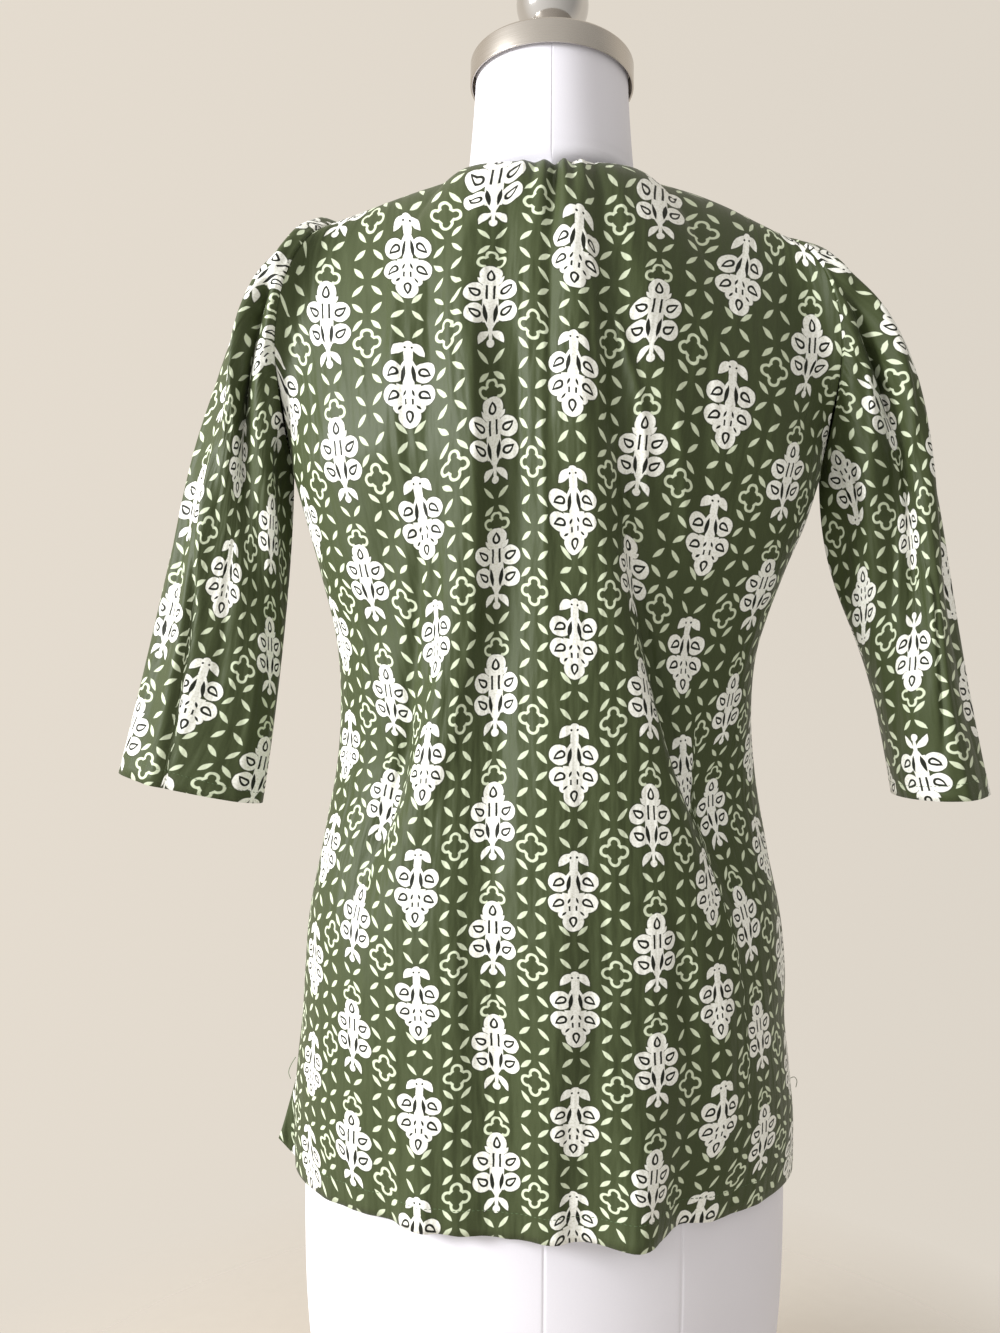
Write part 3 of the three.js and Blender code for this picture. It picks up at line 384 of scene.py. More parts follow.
# Millimetres of print in one unit of the UV map.
UV_UNIT = 100
# The least share of its even spacing that a column of plants keeps: at the sides, and in
# the middle, where a fold may hide some of it.
FULL_SHARE = 0.88
LEAST_SHARE = 0.3
# A column takes up its even spacing within this length past its marks.
SETTLE_LENGTH = 80
# Hidden print is stepped over within this distance of a valley's middle.
STEP_HALF = 2
BACK_PRINT = [
    (-161, HANGING_MIDDLE, [
        (352, 690, 3.5), (361, 748, 4), (341, 849, 5), (317, 959, 6), (311, 1066, 7), (310, 1154, 8)]),
    (-108, UPRIGHT_MIDDLE, [
        (345, 215, 0.05), (323, 325, 1), (338, 463, 2), (364, 584, 3), (388, 700, 4), (384, 803, 5),
        (353, 924, 6), (350, 1036, 7), (348, 1148, 8)]),
    (-55, HANGING_MIDDLE, [
        (405, 195, -0.5), (405, 258, 0), (405, 384, 1), (420, 519, 2), (435, 642, 3), (423, 766, 4),
        (413, 890, 5), (415, 1004, 6), (416, 1115, 7)]),
    (-2, UPRIGHT_MIDDLE, [
        (496, 164, -0.22), (491, 190, 0), (487, 305, 1), (491, 440, 2), (494, 568, 3), (492, 695, 4),
        (490, 822, 5), (490, 938, 6), (492, 1050, 7), (493, 1172, 8)]),
    (51, HANGING_MIDDLE, [
        (577, 165, -0.66), (573, 246, 0), (570, 372, 1), (572, 510, 2), (572, 639, 3), (571, 766, 4),
        (570, 894, 5), (573, 1010, 6), (571, 1123, 7), (570, 1225, 8)]),
    (104, UPRIGHT_MIDDLE, [
        (655, 181, -0.22), (655, 205, 0), (652, 318, 1), (638, 454, 2), (628, 572, 3), (646, 700, 4),
        (649, 826, 5), (655, 955, 6), (655, 1070, 7), (650, 1190, 8)]),
    (157, HANGING_MIDDLE, [
        (739, 206, -0.57), (739, 275, 0), (727, 405, 1), (707, 536, 2), (682, 656, 3), (708, 886, 5),
        (717, 1003, 6), (719, 1121, 7)]),
    (210, UPRIGHT_MIDDLE, [
        (810, 360, 1), (784, 484, 2), (758, 596, 3), (726, 711, 4), (709, 811, 5), (745, 924, 6),
        (758, 1035, 7), (763, 1141, 8)]),
    (263, HANGING_MIDDLE, [
        (740, 700, 3.5), (734, 755, 4), (751, 856, 5), (779, 955, 6), (788, 1068, 7), (790, 1150, 8)]),
]
# The valley beside each flank's fold: the guide that it follows and how far past it it lies.
BACK_VALLEYS = ((LEFT_GUIDE, -10), (RIGHT_GUIDE, 8))
FRONT_PRINT_SHIFT = 12
# The right sleeve was cut with its print upside down, so its rows count upward.
SLEEVE_PRINTS = {
    "left": [
        (0, UPRIGHT_MIDDLE, [(187, 498, 2), (166, 621, 3), (148, 742, 4)]),
        (53, HANGING_MIDDLE, [(249, 460, 1), (221, 581, 2), (190, 694, 3)]),
        (106, UPRIGHT_MIDDLE, [(271, 661, 3), (242, 770, 4)]),
    ],
    "right": [
        (0, UPRIGHT_MIDDLE, [(906, 532, 3), (916, 655, 2), (926, 769, 1)]),
        (53, HANGING_MIDDLE, [(855, 479, 3), (857, 615, 2)]),
    ],
}
# The fold near the left cuff: the angle of its valley, the cloth it hides, and its ends.
CUFF_VALLEY = {"degrees": 63, "hidden": 20, "full": 100, "gone": 210}


def superellipse(angle, square):
    across = np.sin(angle)
    along = np.cos(angle)
    power = 2 / square
    return np.sign(across) * np.abs(across) ** power, np.sign(along) * np.abs(along) ** power


def smooth(edge0, edge1, x):
    t = np.clip((x - edge0) / (edge1 - edge0), 0, 1)
    return t * t * (3 - 2 * t)


def fold_height(folds, along, across, position):
    """Sum of the folds at points given by the tables' first column and position across."""
    total = np.zeros(np.broadcast(along, across).shape)
    for rows in folds:
        key = next(iter(rows))
        inside = (along >= rows[key][0]) & (along <= rows[key][-1])
        offset = (across - read(rows, position, along)) / read(rows, "wide", along)
        total += np.where(inside, read(rows, "out", along) * np.exp(-offset * offset), 0)
    return total


def centre_height(x, z):
    """How far the loose centre of the back stands out between its two flanks."""
    total = np.zeros_like(x)
    for rows, inward in ((LEFT_FLANK, 1), (RIGHT_FLANK, -1)):
        inside = (z >= rows["z"][0]) & (z <= rows["z"][-1])
        past = inward * (x - read(rows, "x", z)) / read(rows, "turn", z)
        total += np.where(inside, read(rows, "rise", z) * (np.tanh(past) - 1) / 2, 0)
    away = np.minimum(1, np.abs(x) / 160)
    return total * (1 - away**6)


def lower_points(turn, z, face):
    across, along = superellipse(turn * math.pi / 2, read(BODY, "square", z))
    half = np.where(turn < 0, read(BODY, "left", z), read(BODY, "right", z))
    depth = read(BODY, "back" if face < 0 else "front", z)
    return np.stack(np.broadcast_arrays(half * across, face * depth * along, z), -1)


def top_points(turn, face):
    """The neckline, then the shoulder seam, by share of the panel's half width."""
    neck_y, neck_z = BACK_NECK if face < 0 else FRONT_NECK
    neck_share = 0.46 if face < 0 else 0.56
    share = np.abs(turn)
    sign = np.sign(turn)
    angle = np.minimum(share / neck_share, 1) * math.pi / 2
    drop = np.clip(1 - np.sin(angle) ** 2, 0, 1) ** (1 if face < 0 else 0.9)
    t = np.clip((share - neck_share) / (1 - neck_share), 0, 1)
    left = np.array(SHOULDER_TIPS[-1], float)
    right = np.array(SHOULDER_TIPS[1], float)
    tip = np.where(sign[..., None] < 0, left, right)
    on_neck = share <= neck_share
    x = np.where(on_neck, NECK_POINT[0] * np.sin(angle), lerp(NECK_POINT[0], tip[..., 0], t))
    y = np.where(on_neck, lerp(0, neck_y, np.cos(angle)), 0)
    shoulder_z = lerp(NECK_POINT[1], tip[..., 1], t) + tip[..., 2] * np.sin(math.pi * t)
    z = np.where(on_neck, lerp(NECK_POINT[1], neck_z, drop), shoulder_z)
    return np.stack((sign * x, y, z), -1)


def upper_points(turn, rise, face):
    turn = np.asarray(turn, float)
    foot = lower_points(turn, float(ARMPIT_Z), face)
    head = top_points(turn, face)
    share = np.abs(turn)
    angle = rise * math.pi / 2
    over_top = lerp(0.6, 0.62, share) if face < 0 else lerp(1.1, 0.62, share)
    inward = np.clip(np.cos(angle), 0, 1) ** over_top
    climb = lerp(rise, np.sin(angle), 0.55 if face < 0 else 0.35)
    x = lerp(head[..., 0], foot[..., 0], lerp(1 - rise, np.cos(angle), 0.6))
    y = lerp(head[..., 1], foot[..., 1], inward)
    z = lerp(foot[..., 2], head[..., 2], climb)
    x = x + np.sign(turn) * share**5 * read(ARMHOLE, "out", rise)
    y = y + face * read(ARMHOLE, "back" if face < 0 else "front", rise) * share**7
    return np.stack((x, y, z), -1)


def column_shares(columns, crowd):
    steps = 2000
    middle = 2 * (np.arange(steps) + 0.5) / steps - 1
    density = np.ones(steps)
    for at, more, wide in crowd:
        density += more * np.exp(-(((middle - at) / wide) ** 2))
    sums = np.concatenate(([0], np.cumsum(density)))
    return np.interp(np.linspace(0, sums[-1], columns + 1), sums, np.linspace(-1, 1, steps + 1))


def guided_row(row_points, shares, guides):
    """A row's points, drawn along so that its guide columns follow their lines."""
    trial = np.linspace(-1, 1, 801)
    points = row_points(trial)
    z = points[400, 2]
    knots = [(-1.0, -1.0)]
    for at, line in guides:
        knots.append((at, float(np.interp(read(line, "x", z), points[:, 0], trial))))
    knots.append((1.0, 1.0))
    return row_points(np.interp(shares, [k[0] for k in knots], [k[1] for k in knots]))


def grid_normals(grid, closed):
    if closed:
        across = np.roll(grid, -1, 1) - np.roll(grid, 1, 1)
    else:
        across = np.gradient(grid, axis=1)
    up = np.gradient(grid, axis=0)
    normals = np.cross(across, up)
    return normals / np.maximum(np.linalg.norm(normals, axis=-1, keepdims=True), 1e-9)


def panel_grid(face, columns, lower_rows, upper_rows, folds, creases, guides, crowd):
    """Rows of points from the hem to the top edge, and each column's share of the width."""
    shares = column_shares(columns, crowd)
    rows = []
    for j in range(lower_rows + 1):
        z = lerp(HEM_Z, ARMPIT_Z, j / lower_rows)
        rows.append(guided_row(lambda turn: lower_points(turn, z, face), shares, guides))
    for j in range(1, upper_rows + 1):
        rise = (j / upper_rows) ** 0.9
        rows.append(guided_row(lambda turn: upper_points(turn, rise, face), shares, guides))
    grid = np.array(rows)
    normals = grid_normals(grid, False)
    x = grid[..., 0]
    z = grid[..., 2]
    height = fold_height(folds + creases, z, x, "x")
    if face < 0:
        height = height + centre_height(x, z)
    top_share = np.clip((np.arange(len(rows)) - lower_rows) / upper_rows, 0, 1)
    settle = 1 - 0.6 * smooth(0.92, 1, top_share)
    fade = (1 - np.abs(shares) ** 8)[None, :] * settle[:, None]
    at_edge = np.clip(1 - (1 - np.abs(shares)) / 0.03, 0, 1) ** 2
    into_seam = at_edge * smooth(0.02, 0.12, top_share)[:, None]
    moved = grid + normals * (height * fade + face * SEAM_DEPTH * into_seam)[..., None]
    open_seams(moved, shares, face)
    return moved, shares


def open_seams(grid, shares, face):
    """Draws the panel's edges apart at the slits, and lets the back's left corner flare."""
    near_edge = np.clip(1 - (1 - np.abs(shares)) / 0.042, 0, 1)[None, :]
    slit = np.clip((SLIT_TOP_Z - grid[..., 2]) / (SLIT_TOP_Z - HEM_Z), 0, 1)
    grid[..., 1] += face * near_edge * (0.05 + SLIT_OPENING * slit)
    if face < 0:
        flare = np.where(shares[None, :] < 0, near_edge * slit**1.5, 0)
        grid[..., 0] -= 13 * flare
        grid[..., 2] += 14 * flare


def armhole_points(side, degrees):
    rise = 0.5 + 0.5 * np.cos(np.radians(degrees))
    back = upper_points(np.full(degrees.shape, float(side)), rise, -1)
    front = upper_points(np.full(degrees.shape, float(side)), rise, 1)
    return np.where((degrees >= 0)[..., None], back, front)


def sleeve_grid(name, columns, rows, creased=True):
    """Rings of points from the armhole to the cuff, with or without the fine creases."""
    sizes = SLEEVES[name]
    side = sizes["side"]
    cuff = sizes["cuff"]
    degrees = 180 - 360 * np.arange(columns) / columns
    top = (1 + np.cos(np.radians(degrees))) / 2
    start = armhole_points(side, degrees) + np.array([side * ARMHOLE_OFFSET, 0, 0])
    across, along = superellipse(np.radians(degrees - cuff["twist"]), 2)
    lean = math.radians(cuff["lean"])
    end = np.stack(
        (
            side * (cuff["x"] + cuff["across"] * along * math.cos(lean)),
            cuff["y"] - cuff["deep"] * across,
            cuff["z"] + cuff["across"] * along * math.sin(lean),
        ),
        -1,
    )

    def blend(key):
        return lerp(sizes["under"][key], sizes["crown"][key], top)

    flat = np.zeros_like(top)
    leave = start + np.stack((side * blend("reach"), flat, -blend("fall")), -1)
    arrive = end + np.stack((-side * blend("back"), flat, blend("rise")), -1)
    down = np.linspace(0, 1, rows + 1)
    down = lerp(down**2, down, 0.7)
    t = down[:, None, None]
    grid = (
        (1 - t) ** 3 * start
        + 3 * t * (1 - t) ** 2 * leave
        + 3 * t**2 * (1 - t) * arrive
        + t**3 * end
    )
    normals = grid_normals(grid, True)
    folds = SLEEVE_FOLDS[name] + (SLEEVE_CREASES[name] if creased else [])
    height = np.zeros(grid.shape[:2])
    for turn in (-360, 0, 360):
        height += fold_height(folds, down[:, None], degrees[None, :] + turn, "at")
    height += HEAD_SWELL * np.exp(-(((down - 0.05) / 0.035) ** 2))[:, None] * top
    moved = grid - normals * (side * height)[..., None]
    tucked = armhole_points(side, degrees) + normals[0] * side * TUCK
    moved = np.concatenate((tucked[None], moved))
    return moved, degrees


def add_mesh(name, points, faces, material, uv=None):
    """A smooth-shaded mesh object from points in millimetres; uv is one pair per point."""
    mesh = bpy.data.meshes.new(name)
    mesh.from_pydata((np.asarray(points) * MM).tolist(), [], faces)
    mesh.validate()
    mesh.polygons.foreach_set("use_smooth", [True] * len(mesh.polygons))
    if uv is not None:
        layer = mesh.uv_layers.new(name="Print")
        corner = np.empty(len(mesh.loops), int)
        mesh.loops.foreach_get("vertex_index", corner)
        layer.data.foreach_set("uv", np.asarray(uv)[corner].ravel())
    mesh.materials.append(material)
    mesh.update()
    made = bpy.data.objects.new(name, mesh)
    bpy.context.scene.collection.objects.link(made)
    return made


def grid_faces(rows, columns, closed, offset=0, flip=False):
    """Quads of a grid of points. closed joins its last column to its first."""
    j, i = np.mgrid[0 : rows - 1, 0 : columns if closed else columns - 1]
    low = j * columns
    high = low + columns
    right = (i + 1) % columns
    quads = np.stack((low + i, low + right, high + right, high + i), -1).reshape(-1, 4) + offset
    return quads[:, ::-1] if flip else quads


def strip_faces(first, second):
    """Quads between two lines of point numbers."""
    return np.stack((first[:-1], first[1:], second[1:], second[:-1]), -1)


def shell(name, grid, normals, closed, outward, material, uv):
    """A thin closed wall: the grid is its outer face."""
    rows, columns = grid.shape[:2]
    outer = grid.reshape(-1, 3)
    inner = (grid - normals * outward * CLOTH).reshape(-1, 3)
    shift = len(outer)
    number = np.arange(shift).reshape(rows, columns)
    parts = [grid_faces(rows, columns, closed), grid_faces(rows, columns, closed, shift, True)]
    edges = [(number[0], True), (number[-1], False)]
    if not closed:
        edges += [(number[:, 0], False), (number[:, -1], True)]
    for line, turned in edges:
        if closed:
            line = np.append(line, line[0])
        parts.append(strip_faces(line + shift, line) if turned else strip_faces(line, line + shift))
    faces = np.concatenate(parts)
    if outward < 0:
        faces = faces[:, ::-1]
    flat_uv = np.concatenate((uv.reshape(-1, 2), uv.reshape(-1, 2)))
    made = add_mesh(name, np.concatenate((outer, inner)), faces.tolist(), material, flat_uv)
    if closed:
        carry_print_on(made.data, uv)
    return made


def carry_print_on(mesh, uv):
    """Lets the print run on across the faces that close a tube, as far as its seam."""
    rows, columns = uv.shape[:2]
    beyond = 2 * uv[:, -1] - uv[:, -2]
    corner = np.empty(len(mesh.loops), int)
    mesh.loops.foreach_get("vertex_index", corner)
    row = corner // columns % rows
    column = corner % columns
    faces = column.reshape(-1, 4)
    closing = (faces == 0).any(1) & (faces == columns - 1).any(1)
    moved = np.repeat(closing, 4) & (column == 0)
    placed = uv[row, column]
    placed[moved] = beyond[row[moved]]
    mesh.uv_layers["Print"].data.foreach_set("uv", placed.ravel())


def keep_off(grid, tree):
    """Moves points out where the cloth would come closer to the form than its clearance."""
    flat = grid.reshape(-1, 3)
    clear = FORM_CLEARANCE + CLOTH
    for k, point in enumerate(flat):
        near, way, _, _ = tree.find_nearest(Vector(point * MM), (clear + NEAR_FORM) * MM)
        if near is None:
            continue
        short = clear - (Vector(point * MM) - near).dot(way) / MM
        if short > 0:
            flat[k] = point + np.array(way) * short
    return flat.reshape(grid.shape)


def to_picture(points):
    """Where points show, in pixels of the picture."""
    depth = points[..., 1] - CAMERA_AT[1]
    x = (points[..., 0] - CAMERA_AT[0]) * FOCAL_PIXELS / depth
    y = -(points[..., 2] - CAMERA_AT[2]) * FOCAL_PIXELS / depth
    turned_x = x * math.cos(ROLL) - y * math.sin(ROLL)
    turned_y = x * math.sin(ROLL) + y * math.cos(ROLL)
    return np.stack((AXIS_PIXELS[0] + turned_x, AXIS_PIXELS[1] + turned_y), -1)


def nearest(values, wanted):
    """The place in a row of values of the one nearest to the wanted value."""
    return int(np.argmin(np.abs(values - wanted)))


def path_lengths(grid, axis):
    steps = np.linalg.norm(np.diff(grid, axis=axis), axis=-1)
    sums = np.cumsum(steps, axis=axis)
    pad = [(0, 0), (0, 0)]
    pad[axis] = (1, 0)
    return np.pad(sums, pad)


def marked_points(grid, normals, outward, across, up, marks):
    """Lengths across and up the cloth where pixels of the picture show it."""
    seen = to_picture(grid).reshape(-1, 2)
    to_camera = np.array(CAMERA_AT, float) - grid
    hidden = ((normals * outward * to_camera).sum(-1) <= 0).ravel()
    flat_across = across.ravel()
    flat_up = up.ravel()
    found = []
    for px, py in marks:
        apart = np.hypot(seen[:, 0] - px, seen[:, 1] - py) + np.where(hidden, 1e6, 0)
        best = np.argsort(apart)[:6]
        weight = 1 / (apart[best] + 0.3)
        weight /= weight.sum()
        found.append(((flat_across[best] * weight).sum(), (flat_up[best] * weight).sum()))
    return np.array(found)


def column_line(heights, places, values, inner, spacing, least):
    """Where a column of plants lies across the cloth, and its print's v, at each height.

    Beyond its marks a column takes up its even spacing from its inner neighbour. least is
    the smallest share of that spacing that it may have.
    """
    def at(up):
        marked = np.clip(up, heights[0], heights[-1])
        rows = {"up": heights, "place": places, "value": values}
        place = read(rows, "place", marked)
        value = read(rows, "value", marked)
        if inner is None:
            return place, value - (up - marked)
        now_place, now_value = inner(up)
        end_place, end_value = inner(marked)
        gone = np.minimum(np.abs(up - marked) / SETTLE_LENGTH, 1)
        share = lerp((place - end_place) / spacing, 1, gone)
        place = now_place + np.clip(share, least, 2 - least) * spacing
        return place, value + now_value - end_value

    return at


def print_places(grid, normals, outward, across, up, columns, valleys):
    """The print's own place, in hundreds of millimetres, of each point of a cloth's grid.

    across and up are lengths along the cloth. Each column of plants is found on the cloth
    where it shows in the picture, and the cloth between columns shares out the rest. What
    is too much for it is print that the real cloth hides in its folds, so the print steps
    over that in the valley beside the fold.
    """
    middle_column = min(range(len(columns)), key=lambda k: abs(columns[k][0]))
    lines = {}
    for k in sorted(range(len(columns)), key=lambda k: abs(k - middle_column)):
        u, middle, marks = columns[k]
        points = marked_points(grid, normals, outward, across, up, [mark[:2] for mark in marks])
        values = np.array([row * REPEAT + middle for _, _, row in marks])
        order = np.argsort(points[:, 1])
        inner = None if k == middle_column else lines[k - 1 if k > middle_column else k + 1]
        spacing = PITCH if k > middle_column else -PITCH
        least = FULL_SHARE if k in (0, len(columns) - 1) else LEAST_SHARE
        heights, places = points[order, 1], points[order, 0]
        lines[k] = column_line(heights, places, values[order], inner, spacing, least)
    placed = [(column[0], *lines[k](up)) for k, column in enumerate(columns)]
    first, last = placed[0], placed[-1]
    u = np.where(across < first[1], first[0] + (across - first[1]), last[0] + (across - last[1]))
    v = np.where(across < first[1], first[2], last[2])
    for k, ((u0, s0, v0), (u1, s1, v1)) in enumerate(zip(placed, placed[1:])):
        span = np.maximum(s1 - s0, 1)
        t = (across - s0) / span
        inside = (t >= 0) & (t <= 1)
        hidden = np.maximum((u1 - u0) * FULL_SHARE - span, 0)
        margin = LEAST_SHARE * span
        valley = np.clip(valleys[0 if k < middle_column else 1], s0 + margin, s1 - margin)
        step = smooth(-STEP_HALF, STEP_HALF, across - valley)
        u = np.where(inside, u0 + t * (u1 - u0 - hidden) + hidden * step, u)
        v = np.where(inside, lerp(v0, v1, t), v)
    return np.stack((u, v), -1) / UV_UNIT


def even_places(grid, normals, outward, across, up, columns, sense):
    """Like print_places, but the print lies as evenly as the cloth, turned and shifted only
    a little so that it comes nearest to its marks. sense is -1 where it is upside down."""
    known = []
    wanted = []
    for u, middle, marks in columns:
        known.extend(marked_points(grid, normals, outward, across, up, [mark[:2] for mark in marks]))
        wanted.extend((u, row * REPEAT + middle) for _, _, row in marks)
    known = np.array(known)
    wanted = np.array(wanted, float)
    centre = known.mean(0)
    spread = known - centre
    downward = sense * np.array([1, -1])
    rest = wanted - wanted.mean(0) - spread * downward
    stiff = np.eye(2) * EVEN_STIFFNESS * len(known)
    bend = np.linalg.solve(spread.T @ spread + stiff, spread.T @ rest)
    offset = np.stack((across, up), -1) - centre
    return (wanted.mean(0) + offset * downward + offset @ bend) / UV_UNIT


class Value:
    """A number in a node tree, so that a pattern can be written as a formula."""

    def __init__(self, tree, socket):
        self.tree = tree
        self.socket = socket

    def math(self, operation, *others):
        node = self.tree.nodes.new("ShaderNodeMath")
        node.operation = operation
        for k, value in enumerate((self, *others)):
            if isinstance(value, Value):
                self.tree.links.new(value.socket, node.inputs[k])
            else:
                node.inputs[k].default_value = value
        return Value(self.tree, node.outputs[0])

    def __add__(self, other):
        return self.math("ADD", other)

    def __sub__(self, other):
        return self.math("SUBTRACT", other)

    def __mul__(self, other):
        return self.math("MULTIPLY", other)

    def abs(self):
        return self.math("ABSOLUTE")

    def min(self, other):
        return self.math("MINIMUM", other)

    def max(self, other):
        return self.math("MAXIMUM", other)

    def floor(self):
        return self.math("FLOOR")

    def mix(self, other, share):
        """This number where share is 0 and the other where it is 1."""
        span = other - self if isinstance(other, Value) else self * -1 + other
        return span.math("MULTIPLY_ADD", share, self)


class Place:
    """A point in a node tree."""

    def __init__(self, tree, socket):
        self.tree = tree
        self.socket = socket

    @classmethod
    def of(cls, x, y):
        node = x.tree.nodes.new("ShaderNodeCombineXYZ")
        x.tree.links.new(x.socket, node.inputs[0])
        x.tree.links.new(y.socket, node.inputs[1])
        return cls(x.tree, node.outputs[0])

    def vector(self, operation, constant, output):
        node = self.tree.nodes.new("ShaderNodeVectorMath")
        node.operation = operation
        self.tree.links.new(self.socket, node.inputs[0])
        node.inputs[1].default_value = (*constant, 0)
        return Value(self.tree, node.outputs[output])

    def disc(self, x, y, radius):
        """Distance outside a disc, below 0 inside it."""
        return self.vector("DISTANCE", (x, y), "Value") - radius

    def along(self, x, y, direction):
        """How far the point lies past (x, y) in a direction."""
        a, b = direction
        return self.vector("DOT_PRODUCT", (a, b), "Value") - (a * x + b * y)

    def leaf(self, start, end, width, bend=0.0):
        """A pointed leaf from start to end, below 0 inside it."""
        length = math.dist(start, end)
        way = ((end[0] - start[0]) / length, (end[1] - start[1]) / length)
        middle = ((start[0] + end[0]) / 2, (start[1] + end[1]) / 2)
        down = self.along(*middle, way)
        side = self.along(*middle, (-way[1], way[0]))
        arch = (down * down) * (-4 / length**2) + 1
        if bend:
            side = side + arch * bend
        return side.abs() - arch * (width / 2)

    def drop(self, x, y, way, radius, length, curl=0.0):
        """A drop about (x, y) whose tip lies length away, below 0 inside it."""
        down = self.along(x, y, way)
        side = self.along(x, y, (-way[1], way[0]))
        if curl:
            side = side + (down.max(0) * down.max(0)) * curl
        tip = down.max(0)
        back = down.min(0)
        width = (tip * tip) * (-radius / length**2) + radius
        round_part = (side * side + back * back).math("SQRT")
        return round_part.mix(side.abs(), down.math("GREATER_THAN", 0)) - width


def union(*shapes):
    total = shapes[0]
    for shape in shapes[1:]:
        total = total.min(shape)
    return total


def cover(shape, soft=0.22):
    """1 inside a shape and 0 outside it, with a soft printed edge."""
    return (shape * (-1 / (2 * soft)) + 0.5).max(0).min(1)


def print_shapes(tree, u, v):
    """The white plants, the pale leaves, and the dark lines of the print, each from 0 to 1."""
    column = (u * (1 / PITCH) + 0.5).floor()
    x = (u - column * PITCH).abs()
    hanging = (column * 0.5 - (column * 0.5).floor()) * 2
    turned = v * -1 + 12.3
    along = v.mix(turned, hanging)
    y = along - ((along + 51.6) * (1 / REPEAT)).floor() * REPEAT
    place = Place.of(x, y)
    upright = hanging * -1 + 1
    far = hanging * 100
    near = upright * 100
    tilt = (0.94, -0.34)

    top_leaf = place.disc(0, -34.2, 6.8)
    upper = place.disc(9.5, -22.1, 6.4)
    lower = place.disc(9.5, -8.1, 6.5)
    bit = place.leaf((3.2, -26.8), (8.0, -32.0), 3.0).mix(place.disc(6.6, -29.4, 3.0), hanging)
    middle_width = hanging * 2.4 + 4.8
    middle = (x - middle_width).max((y + 23.2).abs() - 8.2)
    trunk = (x - (hanging * -1.4 + 4.9)).max((y + 9.4).abs() - 6.6)
    stem_width = hanging * 0.7 + 1.4
    funnel = (x - (stem_width + ((y - 0.8).min(0)) * -0.6)).max((y + 2.2).abs() - 3)
    stem = (x - stem_width).max((y + 6.5).abs() - 10)
    droop = place.leaf((0.2, 2.2), (8.0, 11.2), 4.2, 1.3) + far
    bud = place.disc(0, 9.6, 2.5).min((x - 1.1).max((y - 5).abs() - 4)) + far
    wing = place.leaf((-0.5, 10.8), (9.6, 2.4), 5.6, -1.3) + near
    neck = (x - 2.7).max((y - 5).abs() - 4.6) + near
    bump = place.disc(0, 9.6, 3.2) + near
    plant = (top_leaf, upper, lower, bit, middle, trunk, funnel, stem)
    white = union(*plant, droop, bud, wing, neck, bump)

    drops = union(
        place.drop(0, -33.2, (0, -1), 2.0, 5.4, 0.03).abs(),
        place.drop(8.4, -21.6, tilt, 2.0, 5.0, 0.05).abs(),
        place.drop(8.4, -7.6, tilt, 2.0, 5.0, 0.05).abs(),
    ) - 0.75
    strokes = (x - 2.3).abs().max((y + 22.6).abs() - 3.9) - 0.72 + far
    dashes = (x - 2.2).abs().max((y + 25.2).abs() - 1.1) - 0.62 + near
    slanted = place.leaf((1.8, -18.0), (3.5, -22.0), 1.5) + near
    oblique = place.leaf((4.3, -27.4), (7.1, -30.4), 1.4) + near
    wedge = place.leaf((4.1, -14.4), (2.3, -2.8), 2.7)
    eyes = place.disc(2.1, 8.4, 0.75) + near
    dark = union(drops, strokes, dashes, slanted, oblique, wedge, eyes)

    lobes = place.disc(0, -48.0, 3.1).min(place.disc(4.9, -43.3, 3.1))
    crown = lobes.min((x + (y + 43.3).abs() - 7) * 0.7).abs() - 0.85 + far

    leaf_side = hanging * -2 + 1
    leaf_y = y + y.math("LESS_THAN", -45) * REPEAT
    leaf_x = x - hanging * 0.8
    leaves = []
    for middle_y, slope in ((18.2, 1), (29.9, -1)):
        spot = Place.of(leaf_x, (leaf_y - middle_y) * leaf_side * slope)
        leaves.append(spot.leaf((8.4, -3.4), (1.6, 3.4), 3))
    spot = Place.of(leaf_x, (leaf_y + 40.8) * leaf_side)
    leaves.append(spot.leaf((8.4, -3.4), (1.6, 3.4), 3) + near)

    step = REPEAT / 7
    slot_number = (v * (1 / step) + 0.5).floor()
    in_slot = v - slot_number * step
    turn_number = slot_number - (slot_number * (1 / 7)).floor() * 7
    odd = (turn_number * 0.5 - (turn_number * 0.5).floor()) * 4 - 1
    lattice_x = x * -1 + PITCH / 2
    is_flower = turn_number.math("LESS_THAN", 0.5)
    spot = Place.of(lattice_x, in_slot * odd)
    pair = spot.leaf((9.5, -3.5), (2.5, 3.5), 3.1) + is_flower * 100
    flower_y = (v - (v * (1 / REPEAT) + 0.5).floor() * REPEAT).abs()
    corner = Place.of(lattice_x.max(flower_y), lattice_x.min(flower_y))
    petals = corner.disc(5.5, 0, 3.3)
    flower = petals.min((lattice_x + flower_y - 7.7) * 0.7).abs() - 0.9
    pale = union(*leaves, pair, flower, crown)
    ring = white.abs() - 0.6
    return cover(white), cover(pale.max(white * -1)), cover(dark, 0.14), cover(ring, 0.5)


def principled(name):
    material = bpy.data.materials.new(name)
    material.use_nodes = True
    return material, material.node_tree, material.node_tree.nodes["Principled BSDF"]


def set_inputs(tree, shader, inputs):
    """Sets a shader's sockets by name, each to a number or to what another node gives."""
    for name, value in inputs.items():
        if isinstance(value, Value):
            value = value.socket
        if isinstance(value, bpy.types.NodeSocket):
            tree.links.new(value, shader.inputs[name])
        else:
            shader.inputs[name].default_value = value


def object_place(tree):
    return tree.nodes.new("ShaderNodeTexCoord").outputs["Object"]


